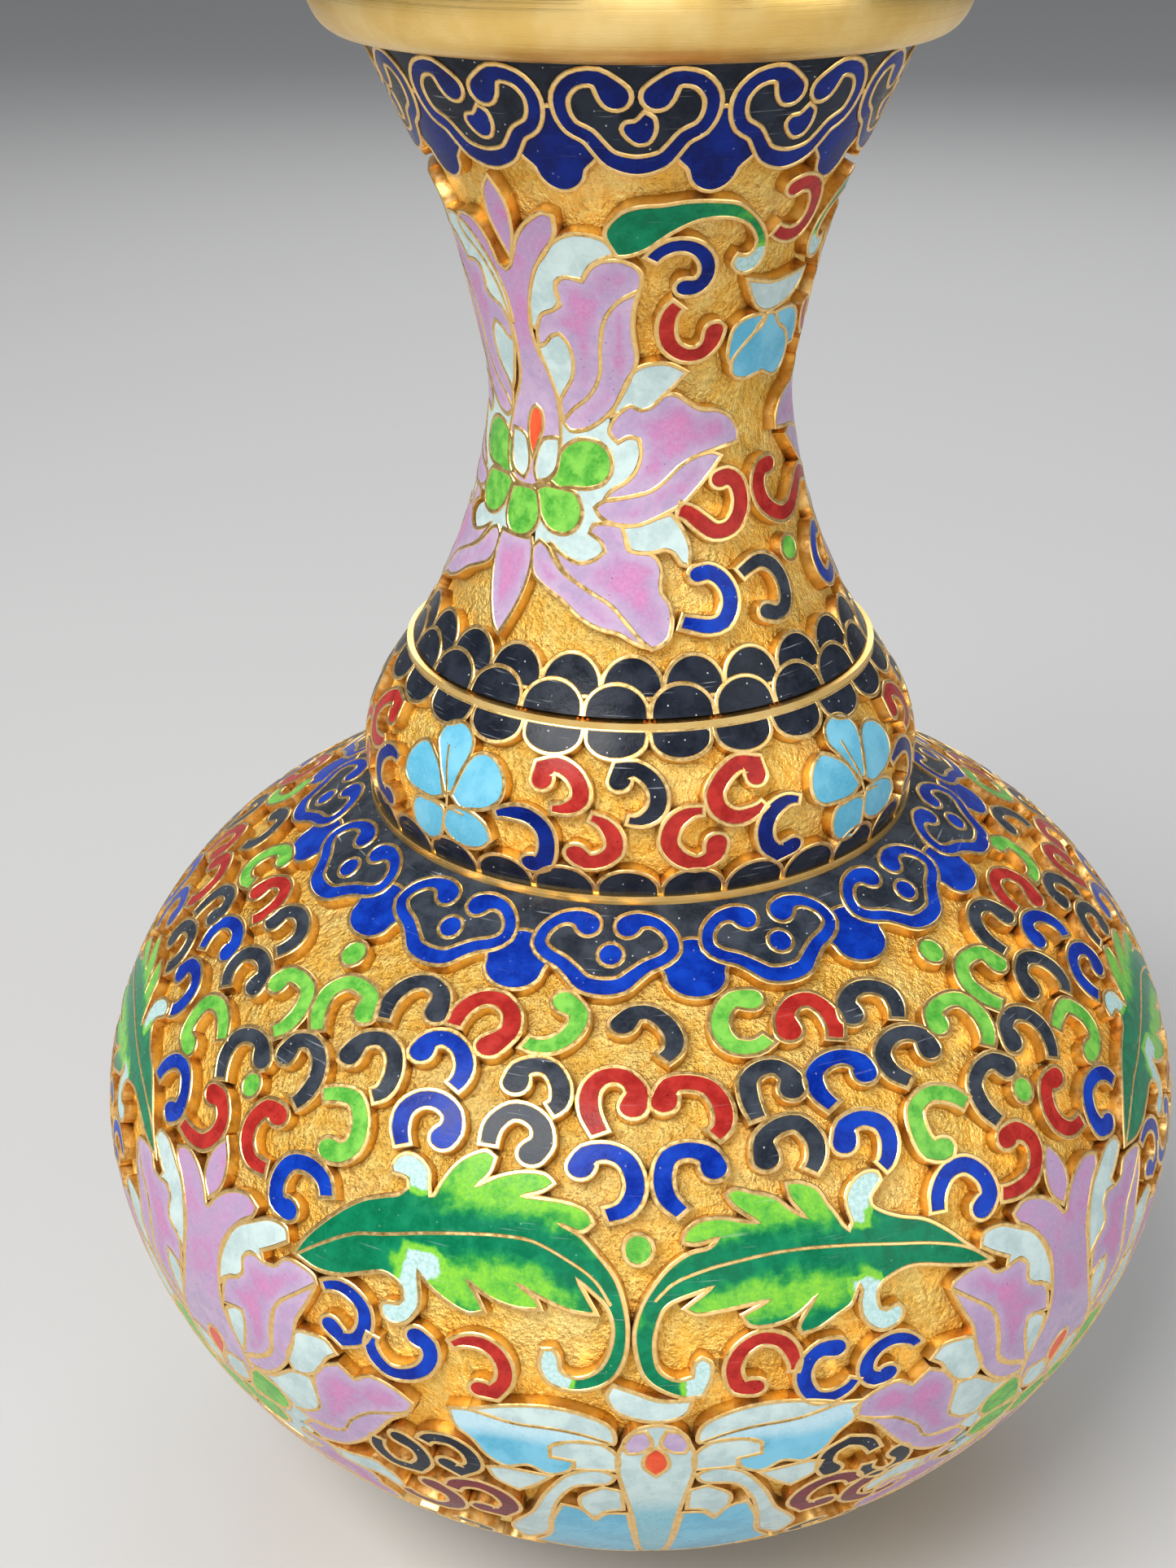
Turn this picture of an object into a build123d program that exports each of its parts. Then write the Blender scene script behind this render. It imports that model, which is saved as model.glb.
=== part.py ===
from build123d import *

import math
import os

# A cloisonne vase, in millimetres. +Z is the vase's axis, z = 0 is the plane that the foot stands on,
# and bearings are degrees about the axis, with bearing 0 at -Y and bearing 90 at +X.
# Copper shells carry raised cells of enamel outside and a thin counter-enamel inside. The rim, the
# foot and the ring wires are brass.

# Driving dimensions.
BODY_RADIUS = 55.0
FOOT_TOP = 5.0
EQUATOR = 45.0
JUNCTION = 78.3
RIDGE = 93.4
BAND_TOP = 148.3
NECK_TOP = 149.6
RELIEF = 1.2
WALL = 1.0
LINING = 0.4
FOOT_RADIUS = 25.0
FOOT_INNER = 21.5
BEAD_RADIUS = 24.6
BEAD_HEIGHT = 152.4
BEAD_HALF_WIDTH = 3.3
BEAD_HALF_HEIGHT = 4.4
QUARTERS = 4
FIT = 0.05
STAND_OFF = 6.0
FOOT_ROUNDING = 0.6
RIDGE_RING_RADIUS = 21.5
RIDGE_RING_HEIGHT = 0.8
JUNCTION_RING_RADIUS = 25.8
JUNCTION_RING_HEIGHT = 1.1
RING_WIDTH = 1.6

# Outlines of the raised enamel's outer surface, as (radius, height), from the bottom up.
LOWER_OUTLINE = [(23.2, 2.6), (30.0, 7.0), (41.7, 16.5), (49.1, 26.0), (53.3, 35.5), (BODY_RADIUS, EQUATOR)]
UPPER_OUTLINE = [(BODY_RADIUS, EQUATOR), (53.4, 54.5), (48.0, 64.0), (43.2, 68.8), (35.7, 73.5), (27.0, 78.3),
                 (23.6, 79.6)]
COLLAR_OUTLINE = [(25.6, 77.0), (26.1, JUNCTION), (26.9, 82.1), (25.8, 87.8), (23.6, 91.5), (22.1, RIDGE)]
NECK_OUTLINE = [(22.1, RIDGE), (19.2, 98.5), (17.0, 103.5), (14.25, 113.5), (13.8, 118.5), (14.6, 123.6),
                (17.1, 133.6), (21.6, 143.6), (24.4, 150.0)]


def inward(outline, depth):
    """The outline moved by depth along its inward normals."""
    moved = []
    for i, (radius, height) in enumerate(outline):
        before = outline[max(i - 1, 0)]
        after = outline[min(i + 1, len(outline) - 1)]
        run = after[0] - before[0]
        rise = after[1] - before[1]
        length = math.hypot(run, rise)
        moved.append((radius - depth * rise / length, height + depth * run / length))
    return moved


def pick(point):
    """A section point (radius, height) in space."""
    return (point[0], 0, point[1])


def layer(outline, near, far):
    """A revolved skin between two depths below the outline."""
    outer = inward(outline, near)
    inner = inward(outline, far)
    edges = [Spline(*[(r, 0, z) for r, z in outer]),
             Line(pick(outer[-1]), pick(inner[-1])),
             Spline(*[(r, 0, z) for r, z in reversed(inner)]),
             Line(pick(inner[0]), pick(outer[0]))]
    return revolve(make_face(edges), Axis.Z)


def slab(low, high):
    """A wide disc between two heights, for trimming."""
    return Pos(0, 0, (low + high) / 2) * Cylinder(2 * BODY_RADIUS, high - low)


def ring(section_radius, height, width, tall):
    """A square-section ring."""
    outer = Cylinder(section_radius + width / 2, tall)
    inner = Cylinder(section_radius - width / 2, tall)
    return Pos(0, 0, height) * (outer - inner)


def surface(outline, height):
    """Radius and outward slope of an outline at a height, by straight runs between its points."""
    for (r0, z0), (r1, z1) in zip(outline, outline[1:]):
        if z0 <= height <= z1:
            share = (height - z0) / (z1 - z0)
            return r0 + share * (r1 - r0), (r1 - r0) / (z1 - z0)
    raise ValueError(height)


# The shells and their linings. The raised cells stop short of the rings.

RING_ROOM = 0.5
lower_relief = layer(LOWER_OUTLINE, 0, RELIEF) & slab(FOOT_TOP, EQUATOR)
upper_relief = layer(UPPER_OUTLINE, 0, RELIEF) & slab(EQUATOR, JUNCTION - RING_ROOM)
collar_relief = layer(COLLAR_OUTLINE, 0, RELIEF) & slab(JUNCTION + JUNCTION_RING_HEIGHT, RIDGE - RING_ROOM)
neck_relief = layer(NECK_OUTLINE, 0, RELIEF) & slab(RIDGE + RING_ROOM, BAND_TOP)

BACK = RELIEF + WALL
INSIDE = BACK + LINING
lower_body_shell = layer(LOWER_OUTLINE, RELIEF, BACK) & slab(FOOT_TOP, EQUATOR)
upper_body_shell = layer(UPPER_OUTLINE, RELIEF, BACK) & slab(EQUATOR, 2 * EQUATOR)
collar_shell = layer(COLLAR_OUTLINE, RELIEF, BACK) & slab(FOOT_TOP, RIDGE)
collar_shell = (collar_shell - upper_body_shell).solids().sort_by(Axis.Z)[-1]
neck_shell = layer(NECK_OUTLINE, RELIEF, BACK) & slab(RIDGE, NECK_TOP)

plate_radius = surface(inward(LOWER_OUTLINE, BACK), FOOT_TOP)[0] - FIT
base_plate = Pos(0, 0, FOOT_TOP + WALL / 2) * Cylinder(plate_radius, WALL)
floor_enamel = FOOT_TOP + WALL
lower_body_lining = layer(LOWER_OUTLINE, BACK, INSIDE) & slab(floor_enamel, EQUATOR)
upper_body_lining = layer(UPPER_OUTLINE, BACK, INSIDE) & slab(EQUATOR, 2 * EQUATOR)
collar_lining = layer(COLLAR_OUTLINE, BACK, INSIDE) & slab(FOOT_TOP, RIDGE)
collar_lining = (collar_lining - upper_body_shell - upper_body_lining).solids().sort_by(Axis.Z)[-1]
upper_body_lining = (upper_body_lining - collar_shell - collar_lining).solids().sort_by(SortBy.VOLUME)[-1]
neck_lining = layer(NECK_OUTLINE, BACK, INSIDE) & slab(RIDGE, NECK_TOP)
base_lining = Pos(0, 0, floor_enamel + LINING / 2) * Cylinder(plate_radius - 1.0, LINING)
base_underside_enamel = Pos(0, 0, FOOT_TOP - LINING / 2) * Cylinder(FOOT_INNER - FIT, LINING)

# The turned rings.

foot_section = Pos((FOOT_RADIUS + FOOT_INNER) / 2, FOOT_TOP / 2) * RectangleRounded(
    FOOT_RADIUS - FOOT_INNER, FOOT_TOP, FOOT_ROUNDING)
foot_ring = revolve(Plane.XZ * foot_section, Axis.Z)
bead_section = Pos(BEAD_RADIUS, BEAD_HEIGHT) * Ellipse(BEAD_HALF_WIDTH, BEAD_HALF_HEIGHT)
rim_bead = revolve(Plane.XZ * bead_section, Axis.Z) - neck_shell - neck_lining - neck_relief
rim_bead = rim_bead.solids().sort_by(SortBy.VOLUME)[-1]
ridge_ring = ring(RIDGE_RING_RADIUS, RIDGE, RING_WIDTH, RIDGE_RING_HEIGHT) - neck_shell - collar_shell
ridge_ring = ridge_ring.solids().sort_by(SortBy.VOLUME)[-1]
junction_ring = ring(JUNCTION_RING_RADIUS, JUNCTION + 0.25, RING_WIDTH, JUNCTION_RING_HEIGHT)
junction_ring = junction_ring - upper_body_shell - collar_shell
junction_ring = junction_ring.solids().sort_by(SortBy.VOLUME)[-1]


# Raised enamel cells: a flat outline, pushed through the relief skin.

def cell(outline, skin, bearing, height, face, turn=0):
    """One raised cell: the face stands on the outline's tangent plane and is kept inside the skin."""
    radius, slope = surface(outline, height)
    angle = math.radians(bearing)
    out = (math.sin(angle), -math.cos(angle))
    tangent = (math.cos(angle), math.sin(angle), 0)
    normal = (out[0], out[1], -slope)
    here = Plane(origin=(radius * out[0], radius * out[1], height), x_dir=tangent, z_dir=normal)
    prism = extrude(here * Rot(0, 0, turn) * face, STAND_OFF, both=True)
    return prism & skin


def around(shape, count, start=0.0):
    """Copies of a shape, evenly spaced about the axis."""
    return [Rot(0, 0, start + i * 360 / count) * shape for i in range(count)]


def paired(shape, count):
    """A shape and its mirror image, repeated about the axis."""
    return around(shape, count) + around(mirror(shape, about=Plane.YZ), count)


def comma(radius, width=1.7, sweep=230):
    """A scroll: part of a flat ring that opens downwards."""
    half = math.radians(sweep / 2)

    def at(r, a):
        return (r * math.sin(a), r * math.cos(a))

    outer = radius + width / 2
    inner = radius - width / 2
    edges = [ThreePointArc(at(outer, -half), at(outer, 0), at(outer, half)),
             Line(at(outer, half), at(inner, half)),
             ThreePointArc(at(inner, half), at(inner, 0), at(inner, -half)),
             Line(at(inner, -half), at(outer, -half))]
    return make_face(edges)


def petal(length, width):
    """A pointed petal that grows up from the origin."""
    edges = [ThreePointArc((0, 0), (width / 2, length / 2), (0, length)),
             ThreePointArc((0, length), (-width / 2, length / 2), (0, 0))]
    return make_face(edges)


def cloud(width, tall):
    """A three-lobed cloud head."""
    side = tall * 0.36
    return (Pos(width / 2 - side, tall * 0.12) * Circle(side)
            + Pos(side - width / 2, tall * 0.12) * Circle(side)
            + Pos(0, -tall * 0.12) * Ellipse(width * 0.3, tall * 0.38)
            + Rectangle(width - 2 * side, tall * 0.3))


def scales(outline, skin, height, count, radius, tall):
    """A row of round scales."""
    one = cell(outline, skin, 0, height, Ellipse(radius, tall))
    return around(one, count)


def lotus(outline, skin, bearing, height, size, petals):
    """The petals of one lotus, each given as (across, up, turn, length, width) in units of its size."""
    parts = []
    for across, up, turn, length, width in petals:
        radius = surface(outline, height + up * size)[0]
        side = bearing + math.degrees(across * size / radius)
        parts.append(cell(outline, skin, side, height + up * size, petal(length * size, width * size), turn))
    return parts


nodes = {
    "lower_body_shell": [lower_body_shell],
    "upper_body_shell": [upper_body_shell],
    "collar_shell": [collar_shell],
    "neck_shell": [neck_shell],
    "base_plate": [base_plate],
    "lower_body_lining": [lower_body_lining],
    "upper_body_lining": [upper_body_lining],
    "collar_lining": [collar_lining],
    "neck_lining": [neck_lining],
    "base_lining": [base_lining],
    "base_underside_enamel": [base_underside_enamel],
    "foot_ring": [foot_ring],
    "rim_bead": [rim_bead],
    "ridge_ring": [ridge_ring],
    "junction_ring": [junction_ring],
}


# Neck.

def on_neck(bearing, height, face, turn=0):
    return cell(NECK_OUTLINE, neck_relief, bearing, height, face, turn)


NECK_CLOUDS = 10
NECK_CLOUD_BEARING = -0.8
NECK_SCALES = 23
NECK_SIDES = 2
NECK_LOTUS_BEARING = -41
NECK_LOTUS_HEIGHT = 115.0
nodes["neck_top_band"] = [neck_relief & slab(147.4, BAND_TOP)]
nodes["neck_cloud_heads"] = around(on_neck(NECK_CLOUD_BEARING, 143.4, cloud(12.2, 7.6)), NECK_CLOUDS)
nodes["neck_cloud_lobes"] = around(on_neck(NECK_CLOUD_BEARING + 180 / NECK_CLOUDS, 138.6, Circle(1.9)),
                                   NECK_CLOUDS)
nodes["neck_scales_upper"] = scales(NECK_OUTLINE, neck_relief, 97.2, NECK_SCALES, 2.3, 1.2)
nodes["neck_scales_lower"] = [Rot(0, 0, 180 / NECK_SCALES) * s
                              for s in scales(NECK_OUTLINE, neck_relief, 94.9, NECK_SCALES, 2.5, 1.0)]
neck_pink = [(0, 0.55, 0, 1.35, 0.45), (0.75, 0.5, -38, 1.0, 0.45), (-0.75, 0.5, 38, 1.0, 0.45),
             (0.95, 0.12, -72, 0.95, 0.42), (-0.95, 0.12, 72, 0.95, 0.42), (0.55, -0.45, -125, 1.0, 0.42),
             (-0.55, -0.45, 125, 1.0, 0.42), (0, -0.55, 180, 0.6, 0.4)]
neck_pale = [(0.35, 0.25, -22, 0.85, 0.2), (-0.35, 0.25, 22, 0.85, 0.2)]
neck_green = [(0.28, 0.02, -80, 0.5, 0.34), (-0.28, 0.02, 80, 0.5, 0.34), (0, -0.06, 180, 0.4, 0.3),
              (0.2, -0.14, -140, 0.42, 0.26), (-0.2, -0.14, 140, 0.42, 0.26)]
NECK_LOTUS_SIZE = 13.0
for name, shape in [("neck_lotus_petals", neck_pink), ("neck_lotus_inner_petals", neck_pale),
                    ("neck_lotus_calyx", neck_green)]:
    one = lotus(NECK_OUTLINE, neck_relief, NECK_LOTUS_BEARING, NECK_LOTUS_HEIGHT, NECK_LOTUS_SIZE, shape)
    nodes[name] = [copy for part in one for copy in around(part, NECK_SIDES)]
nodes["neck_leaves"] = around(on_neck(13, 136.3, Rot(0, 0, 85) * Pos(0, -6) * petal(12, 3)), NECK_SIDES)
nodes["neck_blue_buds"] = around(on_neck(48, 124.0, Circle(2.6)), NECK_SIDES)
nodes["neck_red_scrolls"] = [copy for bearing, height, turn in [(21, 125.5, 120), (32, 111.0, -60), (53, 111.0, 60),
                                                                (48, 137.5, -80)]
                             for copy in around(on_neck(bearing, height, comma(1.8, 1.3), turn), NECK_SIDES)]
nodes["neck_blue_scrolls"] = [copy for bearing, height, turn in [(14, 132.0, -30), (20, 103.3, -60),
                                                                 (74, 104.0, 90)]
                              for copy in around(on_neck(bearing, height, comma(1.8, 1.3), turn), NECK_SIDES)]
nodes["neck_black_scrolls"] = around(on_neck(42, 104.0, comma(1.9, 1.3), -60), NECK_SIDES)


# Collar.

def on_collar(bearing, height, face, turn=0):
    return cell(COLLAR_OUTLINE, collar_relief, bearing, height, face, turn)


def quarter_turns(places, make, zone):
    """Scrolls of one colour: each (bearing, height, turn) and its mirror image, in every quarter."""
    return [copy for bearing, height, turn in places
            for copy in paired(zone(bearing, height, make, turn), QUARTERS)]


HANGING_SCALES = 25
FOOT_SCALES = 29
nodes["collar_hanging_scales"] = scales(COLLAR_OUTLINE, collar_relief, 91.3, HANGING_SCALES, 2.4, 1.2)
nodes["collar_foot_scales"] = scales(COLLAR_OUTLINE, collar_relief, 80.4, FOOT_SCALES, 2.3, 1.1)
FLORET_PETALS = 5
floret = [on_collar(45, 85.9, Rot(0, 0, i * 360 / FLORET_PETALS) * Pos(0, 0.5) * petal(3.4, 2.2))
          for i in range(FLORET_PETALS)]
nodes["collar_florets"] = [copy for part in floret for copy in around(part, QUARTERS)]
nodes["collar_red_scrolls"] = quarter_turns([(15.5, 88.2, 40), (8, 84.0, 100)], comma(1.4, 1.0), on_collar)
nodes["collar_blue_scrolls"] = quarter_turns([(26.5, 84.2, 20)], comma(1.4, 1.0), on_collar)
nodes["collar_black_scrolls"] = around(on_collar(0, 88.2, comma(1.3, 1.0), 0), QUARTERS)


# Shoulder border and body.

def on_shoulder(bearing, height, face, turn=0):
    return cell(UPPER_OUTLINE, upper_relief, bearing, height, face, turn)


def on_belly(bearing, height, face, turn=0):
    return cell(LOWER_OUTLINE, lower_relief, bearing, height, face, turn)


SHOULDER_CLOUDS = 13
BODY_LOTUS_HEIGHT = 56.0
SCROLL = comma(2.4)
LOW_SCROLL = comma(2.1, 1.5)
nodes["shoulder_top_band"] = [upper_relief & slab(76.6, JUNCTION - RING_ROOM)]
nodes["shoulder_cloud_heads"] = around(on_shoulder(-5.5, 74.6, cloud(14.0, 6.0)), SHOULDER_CLOUDS)
nodes["shoulder_cloud_lobes"] = around(on_shoulder(8.3, 72.0, Circle(2.4)), SHOULDER_CLOUDS)
nodes["body_black_scrolls"] = quarter_turns([(31, 67.0, 20), (35.5, 63.5, -30), (12.5, 63.2, 0), (13, 58.9, 0)],
                                            SCROLL, on_shoulder)
nodes["body_green_scrolls"] = quarter_turns([(12, 69.6, 110), (31.5, 58.5, -90), (40.0, 68.2, -20)],
                                            SCROLL, on_shoulder)
nodes["body_red_scrolls"] = quarter_turns([(21, 67.8, 0), (4.0, 62.5, 0)], SCROLL, on_shoulder)
nodes["body_blue_scrolls"] = quarter_turns([(23, 62.6, 0), (23.5, 57.7, 0), (3.5, 57.0, 0), (35, 52.6, 0)],
                                           SCROLL, on_shoulder)
nodes["body_green_dots"] = (around(on_shoulder(0, 51.8, Circle(1.4)), QUARTERS)
                            + around(on_shoulder(45, 71.9, Circle(1.4)), QUARTERS)
                            + around(on_shoulder(45, 63.4, Circle(1.4)), QUARTERS))
nodes["body_leaves"] = paired(on_shoulder(16.5, 48.9, Rot(0, 0, 84) * Pos(0, -14) * petal(28, 6.5)), QUARTERS)
nodes["body_lotus_stamens"] = paired(on_shoulder(45, 56.0, Pos(1.6, 0) * petal(6.0, 2.0), -35), QUARTERS)
nodes["body_lotus_petals"] = [copy for turn, length, width, up in [(-62, 14, 6.5, -3), (-98, 15, 6.5, -10),
                                                                   (-140, 13, 6.0, -16)]
                              for copy in paired(on_belly(45, 43.0 + up, Pos(0, 4.5) * petal(length, width), turn),
                                                 QUARTERS)]
nodes["body_lotus_calyx"] = paired(on_belly(45, 29.0, Pos(0, 1.0) * petal(5.5, 3.2), -70), QUARTERS)
nodes["body_pale_flowers"] = [copy for turn, length, width, up in [(-75, 15, 4.5, 0), (-115, 13, 5.0, -4),
                                                                   (-150, 12, 5.0, -8)]
                              for copy in paired(on_belly(0, 40.5 + up, Pos(0, 3.6) * petal(length, width), turn),
                                                 QUARTERS)]
nodes["body_pale_flower_hearts"] = around(on_belly(0, 34.0, Ellipse(3.0, 7.5)), QUARTERS)
nodes["belly_blue_scrolls"] = quarter_turns([(27.5, 43.0, 0)], LOW_SCROLL, on_belly)
nodes["belly_dark_scrolls"] = quarter_turns([(20.5, 37.0, 0), (25.0, 31.5, 180)], LOW_SCROLL, on_belly)
nodes["belly_maroon_scrolls"] = quarter_turns([(17.5, 27.0, 0)], LOW_SCROLL, on_belly)
nodes["foot_scales"] = scales(LOWER_OUTLINE, lower_relief, 7.8, 28, 2.9, 1.7)

os.makedirs("parts", exist_ok=True)
for name, solids in nodes.items():
    export_step(Compound(children=[s for shape in solids for s in shape.solids()]), f"parts/{name}.step")
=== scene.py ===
import math

import bmesh
import bpy
import numpy as np
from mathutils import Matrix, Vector
from mathutils.geometry import delaunay_2d_cdt


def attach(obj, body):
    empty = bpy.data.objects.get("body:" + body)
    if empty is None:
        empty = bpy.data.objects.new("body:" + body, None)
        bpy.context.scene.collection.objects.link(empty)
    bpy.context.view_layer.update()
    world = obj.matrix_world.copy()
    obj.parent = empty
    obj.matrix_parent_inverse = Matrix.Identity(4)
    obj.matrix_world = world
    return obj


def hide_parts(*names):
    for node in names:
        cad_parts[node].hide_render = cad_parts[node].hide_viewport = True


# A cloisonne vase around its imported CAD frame. The CAD shells, rings, bead and linings stay, with
# better materials. Every CAD node of raised cells is replaced by a piece made of enamel cells, each
# with its gilt wire. Lengths are in mm and bearings in degrees, except where a comment says metres.

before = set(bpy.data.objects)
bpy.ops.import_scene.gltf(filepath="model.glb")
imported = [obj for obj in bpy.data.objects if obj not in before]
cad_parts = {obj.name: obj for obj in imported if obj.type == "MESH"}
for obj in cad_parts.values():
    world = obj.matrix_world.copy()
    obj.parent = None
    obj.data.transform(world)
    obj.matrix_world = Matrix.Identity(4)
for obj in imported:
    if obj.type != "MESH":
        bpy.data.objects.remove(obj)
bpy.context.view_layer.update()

MM = 0.001            # metres
RELIEF = 1.2          # height of the raised cells above the gilt ground, mm
WIRE_HALF = 0.21      # half the width of a gilt wire, mm
WIRE_FOOT = 0.31      # half the width of a cell's wall where it meets the ground, mm
SUNK = 0.15           # how far a cell goes into the ground, mm
ENAMEL_LOW = 0.05     # how far polished enamel stands below its wires, mm
WIRE_ROUND = 0.07     # how far down a wire's shoulder starts, mm
WIRE_FLAT = 0.55      # the share of a wire's width that is flat on top
WIRE_UPRIGHT = 0.35   # how far down a wire stays upright, mm
LINE_HALF = 0.17      # half the width of a wire laid over a field, mm
STEP = 0.42           # spacing of the points along a wire, mm
FILL_STEP = 1.1       # spacing of the points inside an enamel field, mm
FILL_GAP = 0.45       # the least distance from those points to the outline, mm
BAND_STEP = 0.5       # spacing of the points along a scroll's centreline, mm
PROFILE_STEP = 1.2    # spacing of the points of a shell's profile, mm
OUTWARD = 0.05        # a shell's face looks outward when its normal has more than this away from the axis
CORNER = math.radians(62)   # an outline that turns more than this has a sharp corner
CREASE = math.radians(35)   # faces that meet at more than this are shaded apart
BAND = 0.93           # half the width of a scroll, to the middle of its wires, mm
HEAD = 1.25           # radius of a scroll's round head, mm
FLAT = 0.85           # a scroll's level runs are this share as wide as its upright ones
EASE = 1.5            # how far a scroll's head or tail runs into its band, mm
SWELL_REACH = 3.0     # how far a band's swelling reaches from its middle, mm
MITRE = 1.5           # a wire is at most this many times as wide at a corner
TAPER = 0.15          # a scroll's tail is narrower than its band by this share
LINE_STEP = 0.8       # spacing of the points along a line that shades a cell, mm
SCALE_POINTS = 11     # points round a scale's crest
SCALE_SIDE = 0.25     # the share of a scale's height that its straight sides take up
TINY = 1e-6           # keeps what divides above 0
CLOUD_HALF = 0.66     # half the width of a cloud's ribbon, mm
CLOUD_HEAD = 1.22     # radius of its round ends, mm
CLOUD_SWELL = 0.2     # how much wider its half-width is in the middle, mm


# The vase's surface, read from the CAD shells. A place on it is a bearing in degrees, 0 at the front
# and 90 at +X, and a distance s in mm, measured up along the tops of the raised cells.

class Surface:
    """The tops of the cells over some shells, with the height of one known distance."""

    def __init__(self, shells, known_z, known_s):
        rings = {}
        for name in shells:
            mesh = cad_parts[name].data
            points = np.array([v.co for v in mesh.vertices]) / MM
            for face in mesh.polygons:
                centre = Vector(face.center)
                across = Vector((centre.x, centre.y)).normalized()
                if face.normal.x * across.x + face.normal.y * across.y > OUTWARD:
                    for index in face.vertices:
                        x, y, z = points[index]
                        rings.setdefault(round(float(z), 2), []).append(math.hypot(x, y))
        profile = []
        for height in sorted(rings):
            here = (max(rings[height]), height)
            if not profile or math.dist(here, profile[-1]) > PROFILE_STEP:
                profile.append(here)
        profile[-1] = (max(rings[height]), height)
        radii, heights = np.array(profile).T
        slope_r, slope_z = np.gradient(radii), np.gradient(heights)
        length = np.hypot(slope_r, slope_z)
        self.normal_r, self.normal_z = slope_z / length, -slope_r / length
        self.r = radii + RELIEF * self.normal_r
        self.z = heights + RELIEF * self.normal_z
        run = np.hypot(np.diff(self.r), np.diff(self.z))
        self.s = np.concatenate([[0], np.cumsum(run)])
        self.s += known_s - np.interp(known_z, self.z, self.s)

    def radius(self, s):
        return float(np.interp(s, self.s, self.r))

    def place(self, bearing, s, lift):
        """Points in space, in metres, at bearings and distances, lifted off the cells' tops by lift mm."""
        out_r = np.interp(s, self.s, self.normal_r)
        out_z = np.interp(s, self.s, self.normal_z)
        r = np.interp(s, self.s, self.r) + lift * out_r
        z = np.interp(s, self.s, self.z) + lift * out_z
        angle = np.radians(bearing)
        return np.stack([r * np.sin(angle), -r * np.cos(angle), z], axis=-1) * MM


BODY = Surface(["lower_body_shell", "upper_body_shell"], known_z=45.0, known_s=53.6)
COLLAR = Surface(["collar_shell"], known_z=85.9, known_s=7.75)
NECK = Surface(["neck_shell"], known_z=118.5, known_s=26.7)


# Outlines.

def smooth(points, closed, step=STEP):
    """A centripetal Catmull-Rom curve through points, with corners kept sharp."""
    points = np.array(points, float)
    count = len(points)

    def at(i):
        return points[i % count] if closed else points[min(max(i, 0), count - 1)]

    def sharp(i):
        if not closed and (i <= 0 or i >= count - 1):
            return True
        before, after = at(i) - at(i - 1), at(i + 1) - at(i)
        cosine = np.dot(before, after) / (np.linalg.norm(before) * np.linalg.norm(after) + 1e-9)
        return math.acos(max(-1, min(1, cosine))) > CORNER

    result = []
    for i in range(count if closed else count - 1):
        p1, p2 = at(i), at(i + 1)
        p0 = 2 * p1 - p2 if sharp(i) else at(i - 1)
        p3 = 2 * p2 - p1 if sharp(i + 1) else at(i + 2)
        t1 = math.sqrt(np.linalg.norm(p1 - p0)) + TINY
        t2 = t1 + math.sqrt(np.linalg.norm(p2 - p1)) + TINY
        t3 = t2 + math.sqrt(np.linalg.norm(p3 - p2)) + TINY
        pieces = max(1, round(np.linalg.norm(p2 - p1) / step))
        t = np.linspace(t1, t2, pieces, endpoint=False)[:, None]
        a1 = (t1 - t) / t1 * p0 + t / t1 * p1
        a2 = (t2 - t) / (t2 - t1) * p1 + (t - t1) / (t2 - t1) * p2
        a3 = (t3 - t) / (t3 - t2) * p2 + (t - t2) / (t3 - t2) * p3
        b1 = (t2 - t) / t2 * a1 + t / t2 * a2
        b2 = (t3 - t) / (t3 - t1) * a2 + (t - t1) / (t3 - t1) * a3
        result.append((t2 - t) / (t2 - t1) * b1 + (t - t1) / (t2 - t1) * b2)
    if not closed:
        result.append(points[-1:])
    return np.concatenate(result)


def normals(line, closed):
    """Unit normals to the left of a line, lengthened a little at corners."""
    if closed:
        before, after = line - np.roll(line, 1, axis=0), np.roll(line, -1, axis=0) - line
    else:
        step = np.diff(line, axis=0)
        before, after = np.concatenate([step[:1], step]), np.concatenate([step, step[-1:]])
    before = before / (np.linalg.norm(before, axis=1, keepdims=True) + 1e-9)
    after = after / (np.linalg.norm(after, axis=1, keepdims=True) + 1e-9)
    along = before + after
    size = np.linalg.norm(along, axis=1, keepdims=True)
    along = along / np.maximum(size, TINY)
    mitre = np.minimum(2 / np.maximum(size, TINY), MITRE)
    return np.stack([-along[:, 1], along[:, 0]], axis=1) * mitre


def half_circle(centre, radius, start, pieces=9):
    angles = start - math.pi * np.arange(1, pieces) / pieces
    return centre + radius * np.stack([np.cos(angles), np.sin(angles)], axis=1)


def stroke(line, half, head, tail=None, swell=0.0, taper=0.0):
    """The outline of a band about a centreline. Its first point is the middle of a round head. The
    last is one too where tail is given; otherwise the band ends square, against its neighbour, taper
    narrower than it was. swell widens it half-way along."""
    middle = smooth(line, False, BAND_STEP)
    if not tail:
        middle = middle[:-1]
    gone = np.concatenate([[0], np.cumsum(np.linalg.norm(np.diff(middle, axis=0), axis=1))])
    width = half + (head - half) * np.exp(-(gone / EASE) ** 2)
    width += swell * np.exp(-((gone - gone[-1] / 2) / SWELL_REACH) ** 2)
    width += ((tail or half * (1 - taper)) - half) * np.exp(-((gone[-1] - gone) / EASE) ** 2)
    side = normals(middle, False)
    left, right = middle + side * width[:, None], middle - side * width[:, None]
    first = math.atan2(side[0][1], side[0][0])
    last = math.atan2(side[-1][1], side[-1][0])
    end = half_circle(middle[-1], width[-1], last) if tail else middle[-1:]
    return np.concatenate([left, end, right[::-1], half_circle(middle[0], width[0], first - math.pi)])


def distance(points, outline):
    """How far points are from the nearest point of an outline."""
    return np.linalg.norm(points[:, None] - outline[None], axis=2).min(axis=1)


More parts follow.
